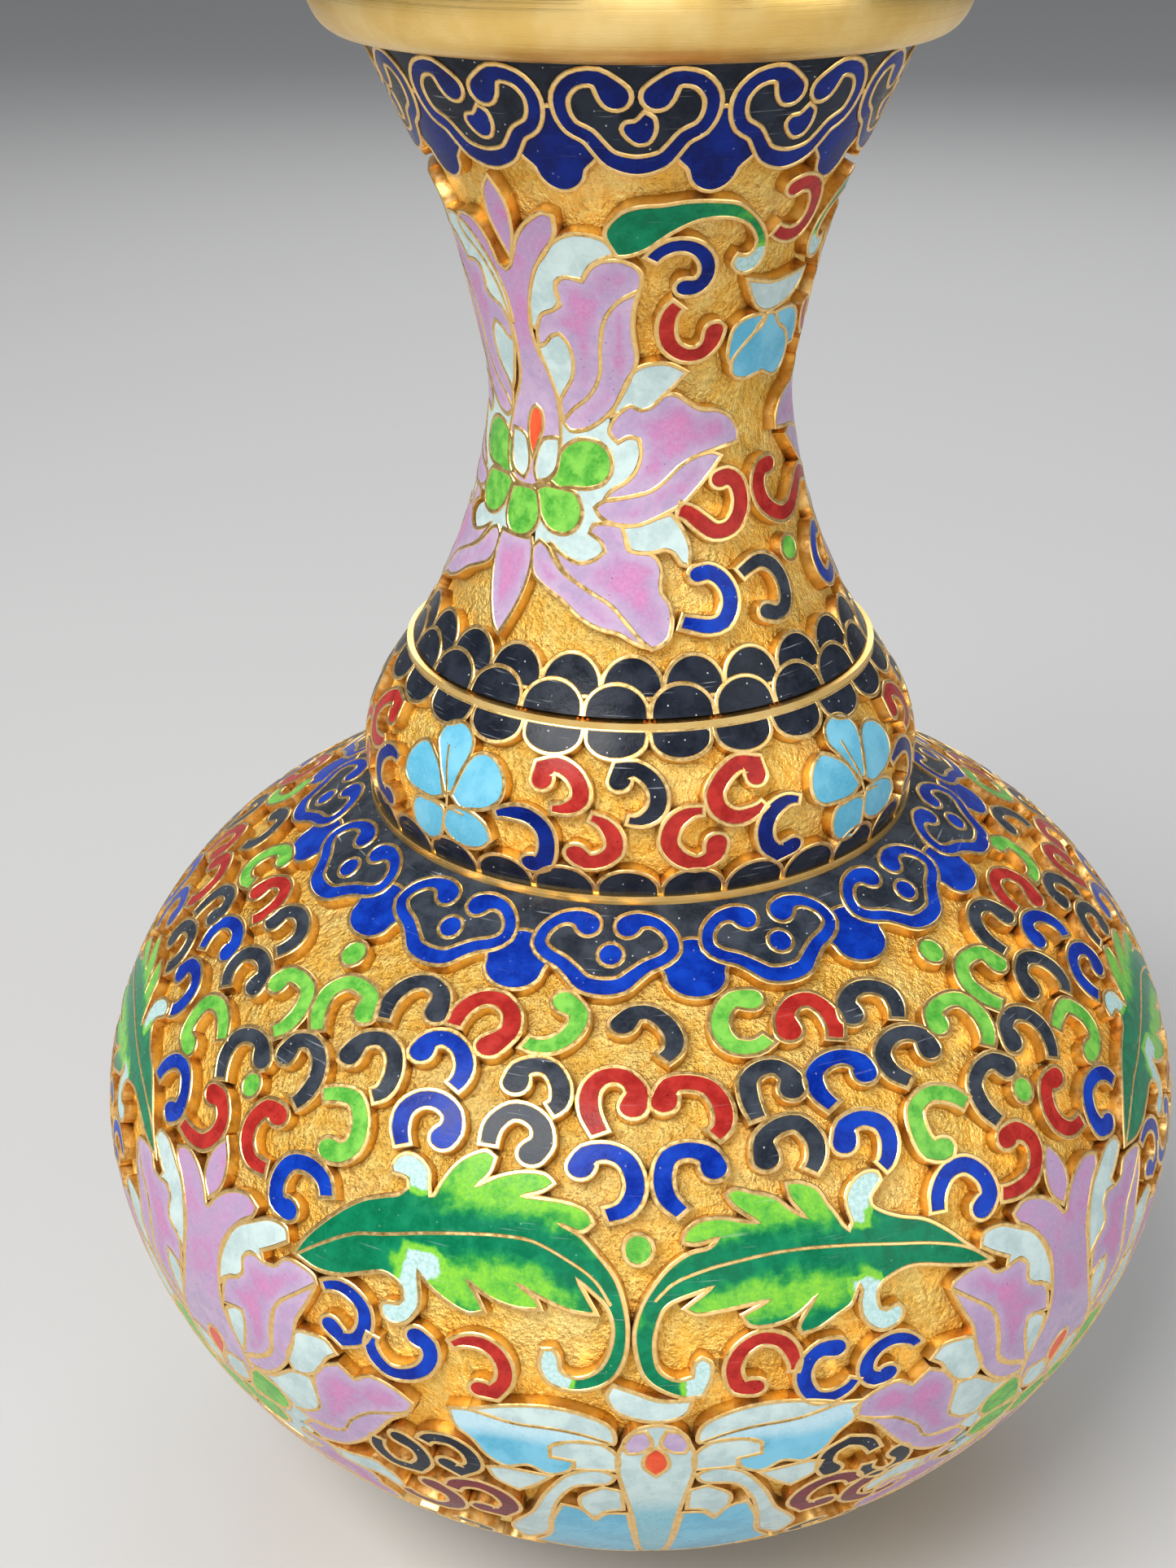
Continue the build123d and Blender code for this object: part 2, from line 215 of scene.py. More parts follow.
def inside(points, outline):
    """Which points are inside a closed outline."""
    hit = np.zeros(len(points), bool)
    x, y = points[:, 0], points[:, 1]
    for (x0, y0), (x1, y1) in zip(outline, np.roll(outline, -1, axis=0)):
        crosses = (y0 > y) != (y1 > y)
        reach = x0 + (y - y0) * (x1 - x0) / ((y1 - y0) if y1 != y0 else 1e-9)
        hit ^= crosses & (x < reach)
    return hit


# Pieces.

class Piece:
    """Cells that share a CAD node: enamel fields, the wires round them, and the walls below."""

    def __init__(self, surface):
        self.surface = surface
        self.points, self.faces, self.kinds, self.tones, self.depths = [], [], [], [], []
        self.total = 0

    def add(self, bearing, s, lift, faces, kind, tone=0.0):
        bearing, s = np.asarray(bearing, float), np.asarray(s, float)
        lift = np.broadcast_to(np.asarray(lift, float), s.shape)
        self.points.append(self.surface.place(bearing, s, lift))
        self.faces.extend([tuple(int(i) + self.total for i in face) for face in faces])
        self.kinds.extend([kind] * len(faces))
        self.tones.append(np.broadcast_to(np.asarray(tone, float), s.shape))
        self.depths.append(np.clip(-lift / RELIEF, 0, 1))
        self.total += len(s)

    def wire(self, outline, scale, closed=True, top=0.0, half=WIRE_HALF):
        """A gilt strip that stands on the ground along an outline."""
        side = normals(outline, closed)
        floor = -(RELIEF + SUNK)
        side_of_section = [(WIRE_FLAT * half, top), (half, top - WIRE_ROUND), (half, top - WIRE_UPRIGHT),
                           (WIRE_FOOT, floor)]
        section = [(-across, lift) for across, lift in reversed(side_of_section)] + side_of_section
        count, width = len(outline), len(section)
        places = np.concatenate([outline + side * across for across, _ in section])
        lift = np.repeat([height for _, height in section], count)
        faces = []
        for j in range(width):
            k = (j + 1) % width
            for i in range(count if closed else count - 1):
                n = (i + 1) % count
                faces.append((j * count + i, j * count + n, k * count + n, k * count + i))
        if not closed:
            faces.append(tuple(j * count for j in range(width)))
            faces.append(tuple(j * count + count - 1 for j in reversed(range(width))))
        self.add(places[:, 0] / scale, places[:, 1], lift, faces, 0)

    def field(self, outline, scale, kind, low=ENAMEL_LOW, tone=None):
        """An enamel field inside an outline: a closed block from the ground to just under the wires.
        tone gives the shade at (bearing, s, gap), where gap is the distance from the outline."""
        low_x, low_y = outline.min(axis=0)
        high_x, high_y = outline.max(axis=0)
        grid = np.array([(x, y) for x in np.arange(low_x, high_x, FILL_STEP)
                         for y in np.arange(low_y, high_y, FILL_STEP)] or [(low_x, low_y)])
        grid = grid[inside(grid, outline)]
        if len(grid):
            grid = grid[distance(grid, outline) > FILL_GAP]
        corners = [Vector(p) for p in np.concatenate([outline, grid])]
        ring = list(range(len(outline)))
        flat, _, triangles, _, _, _ = delaunay_2d_cdt(corners, [], [ring], 1, 1e-5)
        flat = np.array([(p.x, p.y) for p in flat])
        bearing, s = flat[:, 0] / scale, flat[:, 1]
        count = len(flat)
        shade = tone(bearing, s, distance(flat, outline)) if tone else np.zeros(count)
        floor = -(RELIEF + SUNK)
        lift = np.concatenate([np.full(count, -low), np.full(count, floor)])
        faces = [tuple(t) for t in triangles] + [tuple(i + count for i in reversed(t)) for t in triangles]
        edges = dict.fromkeys((a, b) for t in triangles for a, b in zip(t, t[1:] + t[:1]))
        faces += [(b, a, a + count, b + count) for a, b in edges if (b, a) not in edges]
        self.add(np.tile(bearing, 2), np.tile(s, 2), lift, faces, kind, np.tile(shade, 2))

    def cell(self, points, turn=0.0, kind=1, low=ENAMEL_LOW, wired=True, top=0.0, tone=None):
        """One cell from its outline, given as (bearing, s), turned about the vase's axis."""
        points, scale = self.flat(points, turn)
        outline = smooth(points, True)
        self.field(outline, scale, kind, low, tone)
        if wired:
            self.wire(outline, scale, top=top)

    def scroll(self, points, turn=0.0, kind=1, half=BAND, head=HEAD, taper=TAPER):
        """A scroll along a centreline that starts in the middle of its head."""
        points, scale = self.flat(points, turn)
        outline = stroke([(x, s / FLAT) for x, s in points], half, head, taper=taper) * (1, FLAT)
        self.field(outline, scale, kind)
        self.wire(outline, scale)

    def line(self, points, turn=0.0, half=LINE_HALF):
        """A wire on its own, laid over a field."""
        points, scale = self.flat(points, turn)
        self.wire(smooth(points, False), scale, closed=False, half=half)

    def flat(self, points, turn):
        """Points turned about the vase's axis and laid flat in mm, and the length of a degree there."""
        scale = self.surface.radius(sum(s for _, s in points) / len(points)) * math.pi / 180
        return [((b + turn) * scale, s) for b, s in points], scale

    def band(self, low_s, high_s, low, pieces=240, rows=5):
        """An enamel ring between two distances."""
        turns = np.arange(pieces) * 360 / pieces
        levels = np.linspace(low_s, high_s, rows)
        corners = [(s, -low) for s in levels] + [(s, -(RELIEF + SUNK)) for s in reversed(levels)]
        width = len(corners)
        bearing = np.tile(turns, width)
        s = np.repeat([c[0] for c in corners], pieces)
        lift = np.repeat([c[1] for c in corners], pieces)
        faces = [(j * pieces + i, j * pieces + (i + 1) % pieces, (j + 1) % width * pieces + (i + 1) % pieces,
                  (j + 1) % width * pieces + i) for j in range(width) for i in range(pieces)]
        self.add(bearing, s, lift, faces, 1)

    def make(self, *node, enamels):
        """The piece that replaces a CAD node. Kind 0 is the wire and kind 1 the first enamel."""
        name = node[0] + "_cells"
        mesh = bpy.data.meshes.new(name)
        mesh.from_pydata(np.concatenate(self.points).tolist(), [], self.faces)
        mesh.validate()
        for material in [WIRE, *enamels]:
            mesh.materials.append(material)
        if len(mesh.polygons) == len(self.kinds):
            mesh.polygons.foreach_set("material_index", self.kinds)
        for title, values in (("tone", self.tones), ("depth", self.depths)):
            layer = mesh.attributes.new(title, "FLOAT", "POINT")
            layer.data.foreach_set("value", np.concatenate(values).astype(np.float32))
        work = bmesh.new()
        work.from_mesh(mesh)
        bmesh.ops.recalc_face_normals(work, faces=work.faces)
        work.to_mesh(mesh)
        work.free()
        mesh.shade_smooth()
        mesh.set_sharp_from_angle(angle=CREASE)
        piece = bpy.data.objects.new(name, mesh)
        bpy.context.scene.collection.objects.link(piece)
        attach(piece, "root")
        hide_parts(*node)


def repeat(draw, shapes, turns, **how):
    """Draw each shape at each turn about the vase's axis."""
    for turn in turns:
        for shape in shapes:
            draw(shape, turn, **how)


def scrolls(surface, node, enamel, lines, turns, **how):
    """A node of scrolls of one enamel."""
    piece = Piece(surface)
    repeat(piece.scroll, lines, turns, **how)
    piece.make(node, enamels=[enamel])


def mirrored(points, axis):
    return [(2 * axis - b, s) for b, s in points]


def both(shapes, axis):
    """Each shape and its mirror image about a bearing."""
    return shapes + [mirrored(shape, axis) for shape in shapes]


def oval(bearing, s, half_bearing, half_s, count=14):
    return [(bearing + half_bearing * math.cos(2 * math.pi * i / count),
             s + half_s * math.sin(2 * math.pi * i / count)) for i in range(count)]


# Materials.

def feed(tree, socket, value):
    """Link a socket where value is an output, and set it otherwise."""
    if isinstance(value, bpy.types.NodeSocket):
        tree.links.new(value, socket)
    else:
        socket.default_value = (*value, 1) if socket.type == "RGBA" else value


def add_node(tree, kind, inputs, **settings):
    """A shader node with its settings, and with its inputs linked or set."""
    node = tree.nodes.new("ShaderNode" + kind)
    for name, value in settings.items():
        setattr(node, name, value)
    for name, value in inputs.items():
        feed(tree, node.inputs[name], value)
    return node


def new_material(name):
    material = bpy.data.materials.new(name)
    material.use_nodes = True
    material.node_tree.nodes.clear()
    return material, material.node_tree


def surfaced(tree, **inputs):
    """Give a material its shader. An underscore in an input's name stands for a space."""
    named = {name.replace("_", " "): value for name, value in inputs.items()}
    shader = add_node(tree, "BsdfPrincipled", named)
    add_node(tree, "OutputMaterial", {"Surface": shader.outputs["BSDF"]})


def texture(tree, kind, size, offset, stretch=(1, 1, 1), **inputs):
    """A texture node with features about size mm across, in the object's own space."""
    where = add_node(tree, "TexCoord", {}).outputs["Object"]
    scale = tuple(a / (size * MM) for a in stretch)
    mapping = add_node(tree, "Mapping", {"Vector": where, "Location": offset, "Scale": scale})
    return add_node(tree, kind, {"Vector": mapping.outputs["Vector"], "Scale": 1.0, **inputs})


def noise(tree, size, detail, rough, stretch=(1, 1, 1), seed=0.0):
    offset = (seed, seed * 0.7, seed * 1.3)
    return texture(tree, "TexNoise", size, offset, stretch, Detail=detail, Roughness=rough).outputs["Fac"]


def spots(tree, spacing, radius, seed):
    """1 in small round spots about spacing mm apart and radius mm in radius, 0 elsewhere."""
    far = texture(tree, "TexVoronoi", spacing, (seed, seed, seed)).outputs["Distance"]
    return ranged(tree, far, radius / spacing, radius / spacing * 0.55)


def ranged(tree, value, low, high, out_low=0.0, out_high=1.0):
    """A smooth step from out_low, where value is low, to out_high, where it is high."""
    inputs = {"Value": value, "From Min": low, "From Max": high, "To Min": out_low, "To Max": out_high}
    return add_node(tree, "MapRange", inputs, interpolation_type="SMOOTHSTEP").outputs["Result"]


def mixed(tree, share, a, b):
    """Colour a, turning to colour b as share goes from 0 to 1."""
    return add_node(tree, "Mix", {"Factor": share, 6: a, 7: b}, data_type="RGBA").outputs[2]


def maths(tree, operation, a, b):
    return add_node(tree, "Math", {0: a, 1: b}, operation=operation).outputs["Value"]


def plus(tree, a, b, share):
    """a plus share times b."""
    return maths(tree, "ADD", a, maths(tree, "MULTIPLY", b, share))


def attribute(tree, name):
    return add_node(tree, "Attribute", {}, attribute_name=name).outputs["Fac"]


def bump(tree, height, depth):
    """A bump of depth mm."""
    inputs = {"Strength": 1.0, "Distance": depth * MM, "Height": height}
    return add_node(tree, "Bump", inputs).outputs["Normal"]


def occlusion(tree, reach):
    """How open a place is, 0 in a crevice to 1, within reach mm."""
    return add_node(tree, "AmbientOcclusion", {"Distance": reach * MM}, samples=RAYS).outputs["AO"]


def ground_gilt():
    """Etched and hand-gilt copper: a crumbly, bright gold skin, with brown dirt and painted shade along the
    walls.
    """
    material, tree = new_material("etched_gilt_ground")
    grain = noise(tree, 0.42, 4, 0.62)
    lumps = noise(tree, 1.5, 3, 0.6, seed=3)
    sweep = noise(tree, 9, 2, 0.5, seed=5)
    tone = mixed(tree, ranged(tree, lumps, 0.36, 0.66), GOLD_DEEP, GOLD_BRIGHT)
    tone = mixed(tree, ranged(tree, grain, 0.58, 0.36, 0, 0.5), tone, GOLD_SHADE)
    tone = mixed(tree, ranged(tree, sweep, 0.45, 0.75, 0, 0.35), tone, GOLD_PALE)
    # Dirt and painted shade: the ground darkens where ambient occlusion finds the cells' walls, broken up by
    # the lumps.
    dirt_and_shade_openness = plus(tree, occlusion(tree, 0.7), lumps, 0.5)
    tone = mixed(tree, ranged(tree, dirt_and_shade_openness, 0.74, 0.40, 0, 0.9), tone, CREVICE_DIRT_AND_SHADE)
    surfaced(tree, Base_Color=tone, Metallic=1.0, Roughness=ranged(tree, grain, 0.3, 0.7, 0.34, 0.56),
             Normal=bump(tree, plus(tree, grain, lumps, 1.3), 0.42))
    return material


def gilt_wire():
    """Polished gilt strip on top, dull and darker down the walls: dirt and painted shade."""
    material, tree = new_material("gilt_wire")
    grain = noise(tree, 0.6, 3, 0.6, seed=2)
    tone = mixed(tree, ranged(tree, grain, 0.35, 0.7), WIRE_GOLD, WIRE_PALE)
    # Dirt and painted shade: the wire turns brown the deeper down its walls it goes.
    down = ranged(tree, plus(tree, attribute(tree, "depth"), grain, 0.5), 0.55, 1.25)
    surfaced(tree, Base_Color=mixed(tree, down, tone, WALL_DIRT_AND_SHADE), Metallic=1.0,
             Roughness=ranged(tree, grain, 0.3, 0.75, 0.26, 0.46), Normal=bump(tree, grain, 0.03))
    return material


def turned_brass(name, colours, scratch):
    """Brass turned on a lathe: fine level lines scratch mm deep, a soft polish and some tarnish."""
    material, tree = new_material(name)
    lines = noise(tree, 1.0, 4, 0.6, stretch=(0.03, 0.03, 7))
    cloud = noise(tree, 7, 3, 0.6, seed=4)
    tone = mixed(tree, ranged(tree, cloud, 0.35, 0.7), colours[0], colours[1])
    tone = mixed(tree, ranged(tree, lines, 0.62, 0.78, 0, 0.4), tone, colours[2])
    surfaced(tree, Base_Color=tone, Metallic=1.0, Roughness=ranged(tree, lines, 0.3, 0.7, 0.24, 0.42),
             Normal=bump(tree, lines, scratch))
    return material


def enamel(name, dark, light, pit=(0, 0, 0), pits=0.0, scratches=0.0, blotch=2.6, ramp=(), wander=0.35):
    """Fired and polished enamel: two shades that cloud into each other over blotch mm, a fine grain,
    pinholes and polishing scratches. Each (low, high, colour) of ramp comes in as the piece's tone goes
    from low to high, and its border wanders with the clouds."""
    material, tree = new_material(name)
    cloud = noise(tree, blotch, 4, 0.6, seed=1)
    grain = noise(tree, 0.32, 3, 0.7, seed=6)
    tone = mixed(tree, ranged(tree, cloud, 0.34, 0.68), dark, light)
    if ramp:
        toward = plus(tree, attribute(tree, "tone"), maths(tree, "SUBTRACT", cloud, 0.5), wander)
    for low, high, colour in ramp:
        tone = mixed(tree, ranged(tree, toward, low, high), tone, colour)
    tone = mixed(tree, ranged(tree, grain, 0.35, 0.7, 0, 0.35), tone, light)
    if pits:
        holes = spots(tree, PIN_SPACING, PIN_RADIUS, seed=2.0)
        tone = mixed(tree, maths(tree, "MULTIPLY", holes, pits), tone, pit)
    if scratches:
        lines = noise(tree, 1.2, 2, 0.5, stretch=(0.25, 0.25, 9), seed=8)
        tone = mixed(tree, ranged(tree, lines, 0.66, 0.78, 0, scratches), tone, SCRATCH_GREY)
    # Painted shade: the enamel darkens towards its dark colour where ambient occlusion finds the wires round
    # it.
    painted_edge_shade = ranged(tree, occlusion(tree, 0.5), 0.9, 0.5, 0, 0.25)
    surfaced(tree, Base_Color=mixed(tree, painted_edge_shade, tone, dark), Specular_IOR_Level=ENAMEL_GLOSS,
             Roughness=ranged(tree, cloud, 0.3, 0.7, 0.20, 0.36),
             Normal=bump(tree, plus(tree, cloud, grain, 0.25), 0.05))
    return material


GOLD_DEEP = (0.94, 0.58, 0.11)
GOLD_BRIGHT = (1.0, 0.76, 0.24)
GOLD_PALE = (1.0, 0.85, 0.42)
GOLD_SHADE = (0.66, 0.36, 0.05)
# the brown of the dirt and the painted shade along the cells' walls
CREVICE_DIRT_AND_SHADE = (0.10, 0.07, 0.04)
WIRE_GOLD = (0.82, 0.52, 0.17)
WIRE_PALE = (0.94, 0.67, 0.30)
# the brown of the dirt and the painted shade low on the wires' walls
WALL_DIRT_AND_SHADE = (0.42, 0.22, 0.04)
WHITE_PIT = (0.6, 0.62, 0.62)
ENAMEL_GLOSS = 0.14   # specular level of polished enamel
RAYS = 8              # samples of a crevice's depth
PIN_SPACING = 1.1     # mean distance between pinholes, mm
PIN_RADIUS = 0.10     # mm
SCRATCH_GREY = (0.45, 0.47, 0.5)

GROUND = ground_gilt()
WIRE = gilt_wire()
BRASS = turned_brass("turned_brass", [(0.84, 0.55, 0.16), (0.96, 0.70, 0.28), (0.60, 0.36, 0.10)], 0.02)
RING = turned_brass("ring_gilt", [(0.84, 0.54, 0.16), (0.94, 0.68, 0.28), (0.62, 0.38, 0.10)], 0.015)
BLACK = enamel("black_enamel", (0.006, 0.008, 0.014), (0.020, 0.026, 0.040), WHITE_PIT, 0.8, 0.55)
GREY_BLACK = enamel("grey_black_enamel", (0.012, 0.016, 0.024), (0.045, 0.055, 0.072), WHITE_PIT, 0.7, 0.45)
NAVY = enamel("navy_enamel", (0.001, 0.005, 0.08), (0.001, 0.016, 0.19), WHITE_PIT, 0.3, 0.1)
COBALT = enamel("cobalt_enamel", (0.001, 0.012, 0.20), (0.003, 0.045, 0.42), WHITE_PIT, 0.3, 0.1)
RED = enamel("red_enamel", (0.27, 0.012, 0.010), (0.44, 0.028, 0.020), (0.05, 0.0, 0.0), 0.8, 0.1, blotch=1.4)
MAROON = enamel("maroon_enamel", (0.11, 0.008, 0.014), (0.2, 0.02, 0.03), (0.02, 0.0, 0.0), 0.8, 0.1)
ORANGE = enamel("orange_red_enamel", (0.60, 0.05, 0.015), (0.82, 0.12, 0.04))
GREEN = enamel("green_enamel", (0.055, 0.31, 0.035), (0.21, 0.54, 0.08), (0.02, 0.08, 0.02), 0.5, blotch=1.5)
LEAF = enamel("leaf_enamel", (0.001, 0.125, 0.05), (0.003, 0.20, 0.09), (0.3, 0.5, 0.36), 0.4, 0.3,
              ramp=[(0.10, 0.50, (0.03, 0.32, 0.04)), (0.28, 0.66, (0.22, 0.56, 0.04)),
                    (1.0, 1.35, (0.50, 0.68, 0.68))], blotch=1.5, wander=0.9)
PINK = enamel("pink_enamel", (0.37, 0.27, 0.43), (0.50, 0.38, 0.52), (0.14, 0.05, 0.14), 0.6, blotch=2.2,
              ramp=[(0.10, 0.75, (0.41, 0.20, 0.39)), (0.40, 1.05, (0.54, 0.18, 0.38))], wander=1.3)
PALE = enamel("pale_enamel", (0.38, 0.50, 0.50), (0.55, 0.67, 0.65), (0.1, 0.14, 0.14), 0.3,
              ramp=[(0.25, 0.85, (0.16, 0.45, 0.55))])
SKY = enamel("sky_enamel", (0.09, 0.38, 0.55), (0.20, 0.52, 0.68), (0.02, 0.1, 0.16), 0.4, blotch=4.0,
             ramp=[(0.25, 0.85, (0.5, 0.68, 0.74))])
COUNTER = enamel("counter_enamel", (0.03, 0.16, 0.32), (0.07, 0.28, 0.46), (0.01, 0.03, 0.06), 0.5)

for material, kept in [
        (GROUND, ["lower_body_shell", "upper_body_shell", "collar_shell", "neck_shell", "base_plate"]),
        (BRASS, ["foot_ring", "rim_bead"]),
        (RING, ["ridge_ring", "junction_ring"]),
        (COUNTER, ["lower_body_lining", "upper_body_lining", "collar_lining", "neck_lining", "base_lining",
                   "base_underside_enamel"])]:
    for node in kept:
        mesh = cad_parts[node].data
        mesh.materials.clear()
        mesh.materials.append(material)


# Shapes and shading that several nodes share.

QUARTER = [0, 90, 180, 270]
HALVES = [0, 180]


def nearest(bearing, s, line, scale):
    """Distance in mm from points to a line through (bearing, s) points."""
    places = np.stack([bearing * scale, s], axis=1)
    return distance(places, smooth([(b * scale, t) for b, t in line], False, LINE_STEP))


def rise(value, low, span, most=1.0):
    """0 up to low, then rising to most over span."""
    return np.clip((value - low) / span, 0, most)


def petal_tone(bearing, s, gap):
    """Pink in the middle of the broad petals, paling to lilac at their wires."""
    return rise(gap, 0, 2.2, 0.8)


def scale_row(surface, node, count, start, foot, crest, wide=1.0, low=ENAMEL_LOW, top=0.0, ring=None):
    """A row of round scales that rise, or hang, from a foot to a crest, with an enamel ring if given."""
    half = 180 / count * wide
    shape = [(half * math.cos(a), foot + (crest - foot) * (SCALE_SIDE + (1 - SCALE_SIDE) * math.sin(a)))
             for a in np.linspace(0, math.pi, SCALE_POINTS)]
    shape = [(half, foot)] + shape + [(-half, foot)]
    piece = Piece(surface)
    repeat(piece.cell, [shape], [start + i * 360 / count for i in range(count)], low=low, top=top)
    if ring:
        piece.band(*ring)
    piece.make(node, enamels=[BLACK])


def clouds(place, surface, count, first, half_ribbon, middle, lobe, dot, ring, enamels):
    """A border: a ring of dark enamel, lobes below it, and over both a row of cloud heads. Each head is
    a ribbon, given by its right half and its middle, round a dark field with a dot."""
    heads, lobes, band = Piece(surface), Piece(surface), Piece(surface)
    ribbon = half_ribbon + [middle] + mirrored(half_ribbon[::-1], 0)
    for i in range(count):
        turn = first + i * 360 / count
        lobes.cell(lobe, turn + 180 / count, low=0.14, top=-0.10)
        line, scale = heads.flat(ribbon, turn)
        outline = stroke(line, CLOUD_HALF, CLOUD_HEAD, tail=CLOUD_HEAD, swell=CLOUD_SWELL)
        heads.field(smooth(line, True), scale, 2, low=0.09)
        heads.field(outline, scale, 1)
        heads.wire(outline, scale)
        heads.cell(dot, turn, low=0.04)
    band.band(*ring, low=0.18)
    heads.make(place + "_cloud_heads", enamels=enamels)
    lobes.make(place + "_cloud_lobes", enamels=enamels[:1])
    band.make(place + "_top_band", enamels=enamels[1:])


# Body. Each quarter is the same: a pair of leaves at 0, a lotus at each side, and a pale flower below.
# A scroll's points run along its middle from its round head. Every other table is an outline.

BODY_BLACK = [
    [(-27.2, 86.9), (-27.9, 88.7), (-30.4, 89.4), (-32.9, 88.8), (-34.3, 86.9), (-33.6, 84.3)],
    [(-35.2, 80.8), (-34.5, 82.4), (-32.3, 83.1), (-30, 82.4), (-28.8, 80.5), (-29.2, 78.8), (-30.8, 78)],
    [(-43.3, 78.3), (-42.8, 79.8), (-40.8, 80.3), (-38.7, 79.4), (-37.8, 77.6), (-38.4, 75.7), (-39.5, 74.6)],
    [(-14.3, 82.3), (-14, 83.5), (-12.3, 84.1), (-10.4, 83.8), (-9, 82.3), (-9.1, 80.8), (-10.4, 80.1)],
    [(-11.1, 76.6), (-10.2, 77.6), (-10.6, 79), (-12.2, 79.8), (-14, 79.8), (-15.6, 78.5), (-15.8, 76.3)],
    [(-2.3, 88.4), (-0.8, 89.4), (1.2, 89.5), (3.2, 88.6), (4.3, 87.2), (4, 86), (2.2, 84.9)],
    [(28.1, 86.5), (28.4, 87.9), (30.4, 88.7), (32.8, 88.5), (34.7, 87.4), (34.7, 86), (33.4, 84.4)],
    [(35.5, 81.3), (35.3, 82.7), (33.3, 83.5), (31.1, 83.4), (29.4, 82.4), (29.5, 80.7), (31.7, 79)],
    [(17.2, 81.4), (17.4, 82.4), (16.1, 83.5), (14.2, 83.6), (12.5, 82.8), (12.2, 81), (12.9, 78.8)],
    [(12.8, 76), (12.9, 77.6), (14.7, 78.5), (16.8, 78.5), (18.2, 76.9), (18, 75.4), (16.7, 74.1)],
    [(43.9, 76.8), (42.5, 77.9), (40.4, 77.9), (38.7, 76.9), (38.5, 74.9), (39.9, 72.7)],
]
BODY_GREEN = [
    [(-10.5, 90.2), (-8.3, 89.2), (-8.7, 87.5), (-10.8, 86.1), (-13.2, 85.8), (-15.2, 86.2)],
    [(-36.5, 84.6), (-37.3, 86.2), (-39.5, 86.7), (-41.7, 86.5), (-43.3, 85.1), (-42.9, 83.2), (-40.8, 81)],
    [(-32.7, 72.8), (-31.4, 72.9), (-30.2, 73.8), (-30.2, 75.7), (-32, 77.5), (-34.5, 77.3), (-36.5, 76.5)],
    [(15.4, 90), (12.9, 90.2), (10.9, 89.1), (10.4, 87.4), (11.5, 86), (14.2, 85.6), (17, 86.5)],
    [(31.8, 73.1), (30.4, 73.5), (29.8, 75.1), (30.4, 77.1), (32.6, 77.8), (35, 77.1), (37, 75.4)],
    [(38.4, 82.9), (39, 84.1), (41.2, 84.5), (43.6, 84), (44.7, 82.1), (44.2, 80.2), (42.6, 78.9)],
]
BODY_RED = [
    [(-18.7, 85.1), (-16.8, 86.8), (-17.3, 88.5), (-19.5, 89.5), (-22, 89.3), (-23.9, 87.9), (-24.3, 85.7)],
    [(-0.8, 81), (-0.4, 82.4), (-2, 83.6), (-4, 83.6), (-5.5, 82.6), (-5.6, 80.7), (-3.9, 78.2)],
    [(-40.3, 73.5), (-42, 73.5), (-43.2, 71.9), (-42.9, 70.1), (-41.4, 68.9), (-38.6, 68.9)],
    [(19.1, 86.5), (19.3, 88), (21.1, 89), (23.3, 89), (25, 87.7), (25.2, 86), (24.2, 84.4)],
    [(2.6, 81.4), (3.4, 82.8), (5.6, 83), (7.8, 82.4), (9, 80.7), (8.7, 79), (7, 78)],
    [(39.7, 71.6), (41.2, 71.7), (42.6, 70.5), (42.6, 69), (41.1, 67.5), (38.6, 67.2), (36.2, 67.6)],
]
BODY_BLUE = [
    [(-26.7, 83.2), (-26.2, 84.4), (-24.5, 84.9), (-22.3, 84.4), (-20.8, 83), (-20.8, 81.6), (-21.7, 80.5)],
    [(-20.7, 76.6), (-20.1, 77.4), (-20.4, 78.7), (-22.3, 79.5), (-24.3, 79.3), (-25.7, 78.2), (-25.7, 76.6),
     (-24.5, 74.8)],
    [(-6, 75.9), (-5.3, 76.9), (-3.3, 77.2), (-1.4, 76.5), (-0.5, 74.4), (-1.4, 72.7), (-3.9, 71.9)],
    [(-35.4, 66.6), (-36.8, 66.9), (-37.4, 68.7), (-36.4, 70.5), (-34.2, 70.9), (-32.2, 70.2), (-31.1, 68.5)],
    [(26.3, 81.3), (26.1, 82.4), (24.2, 83.2), (22, 83.1), (20.3, 82.3), (20.1, 80.7), (21.7, 78.8)],
    [(21.3, 76.1), (22, 77.4), (23.9, 77.7), (25.8, 76.9), (26.2, 75.4), (25.3, 73.8), (24, 73.2)],
    [(7.4, 75.7), (6.8, 76.8), (4.8, 77.3), (2.9, 76.8), (2.2, 75.2), (2.6, 73.5), (4.5, 71.9)],
    [(34.2, 67.2), (35.4, 68), (35.3, 69.6), (33.6, 71.2), (31.5, 71.2), (29.8, 69.9), (29.1, 67.9)],
]
scrolls(BODY, "body_black_scrolls", GREY_BLACK, BODY_BLACK, QUARTER)
scrolls(BODY, "body_green_scrolls", GREEN, BODY_GREEN, QUARTER)
scrolls(BODY, "body_red_scrolls", RED, BODY_RED, QUARTER)
scrolls(BODY, "body_blue_scrolls", COBALT, BODY_BLUE, QUARTER)

dots = Piece(BODY)
repeat(dots.cell, [oval(-0.2, 69.4, 1.4, 1.3), oval(-44.5, 89.0, 2.1, 1.35), oval(-45.6, 74.4, 1.4, 1.2)],
       QUARTER)
dots.make("body_green_dots", enamels=[GREEN])

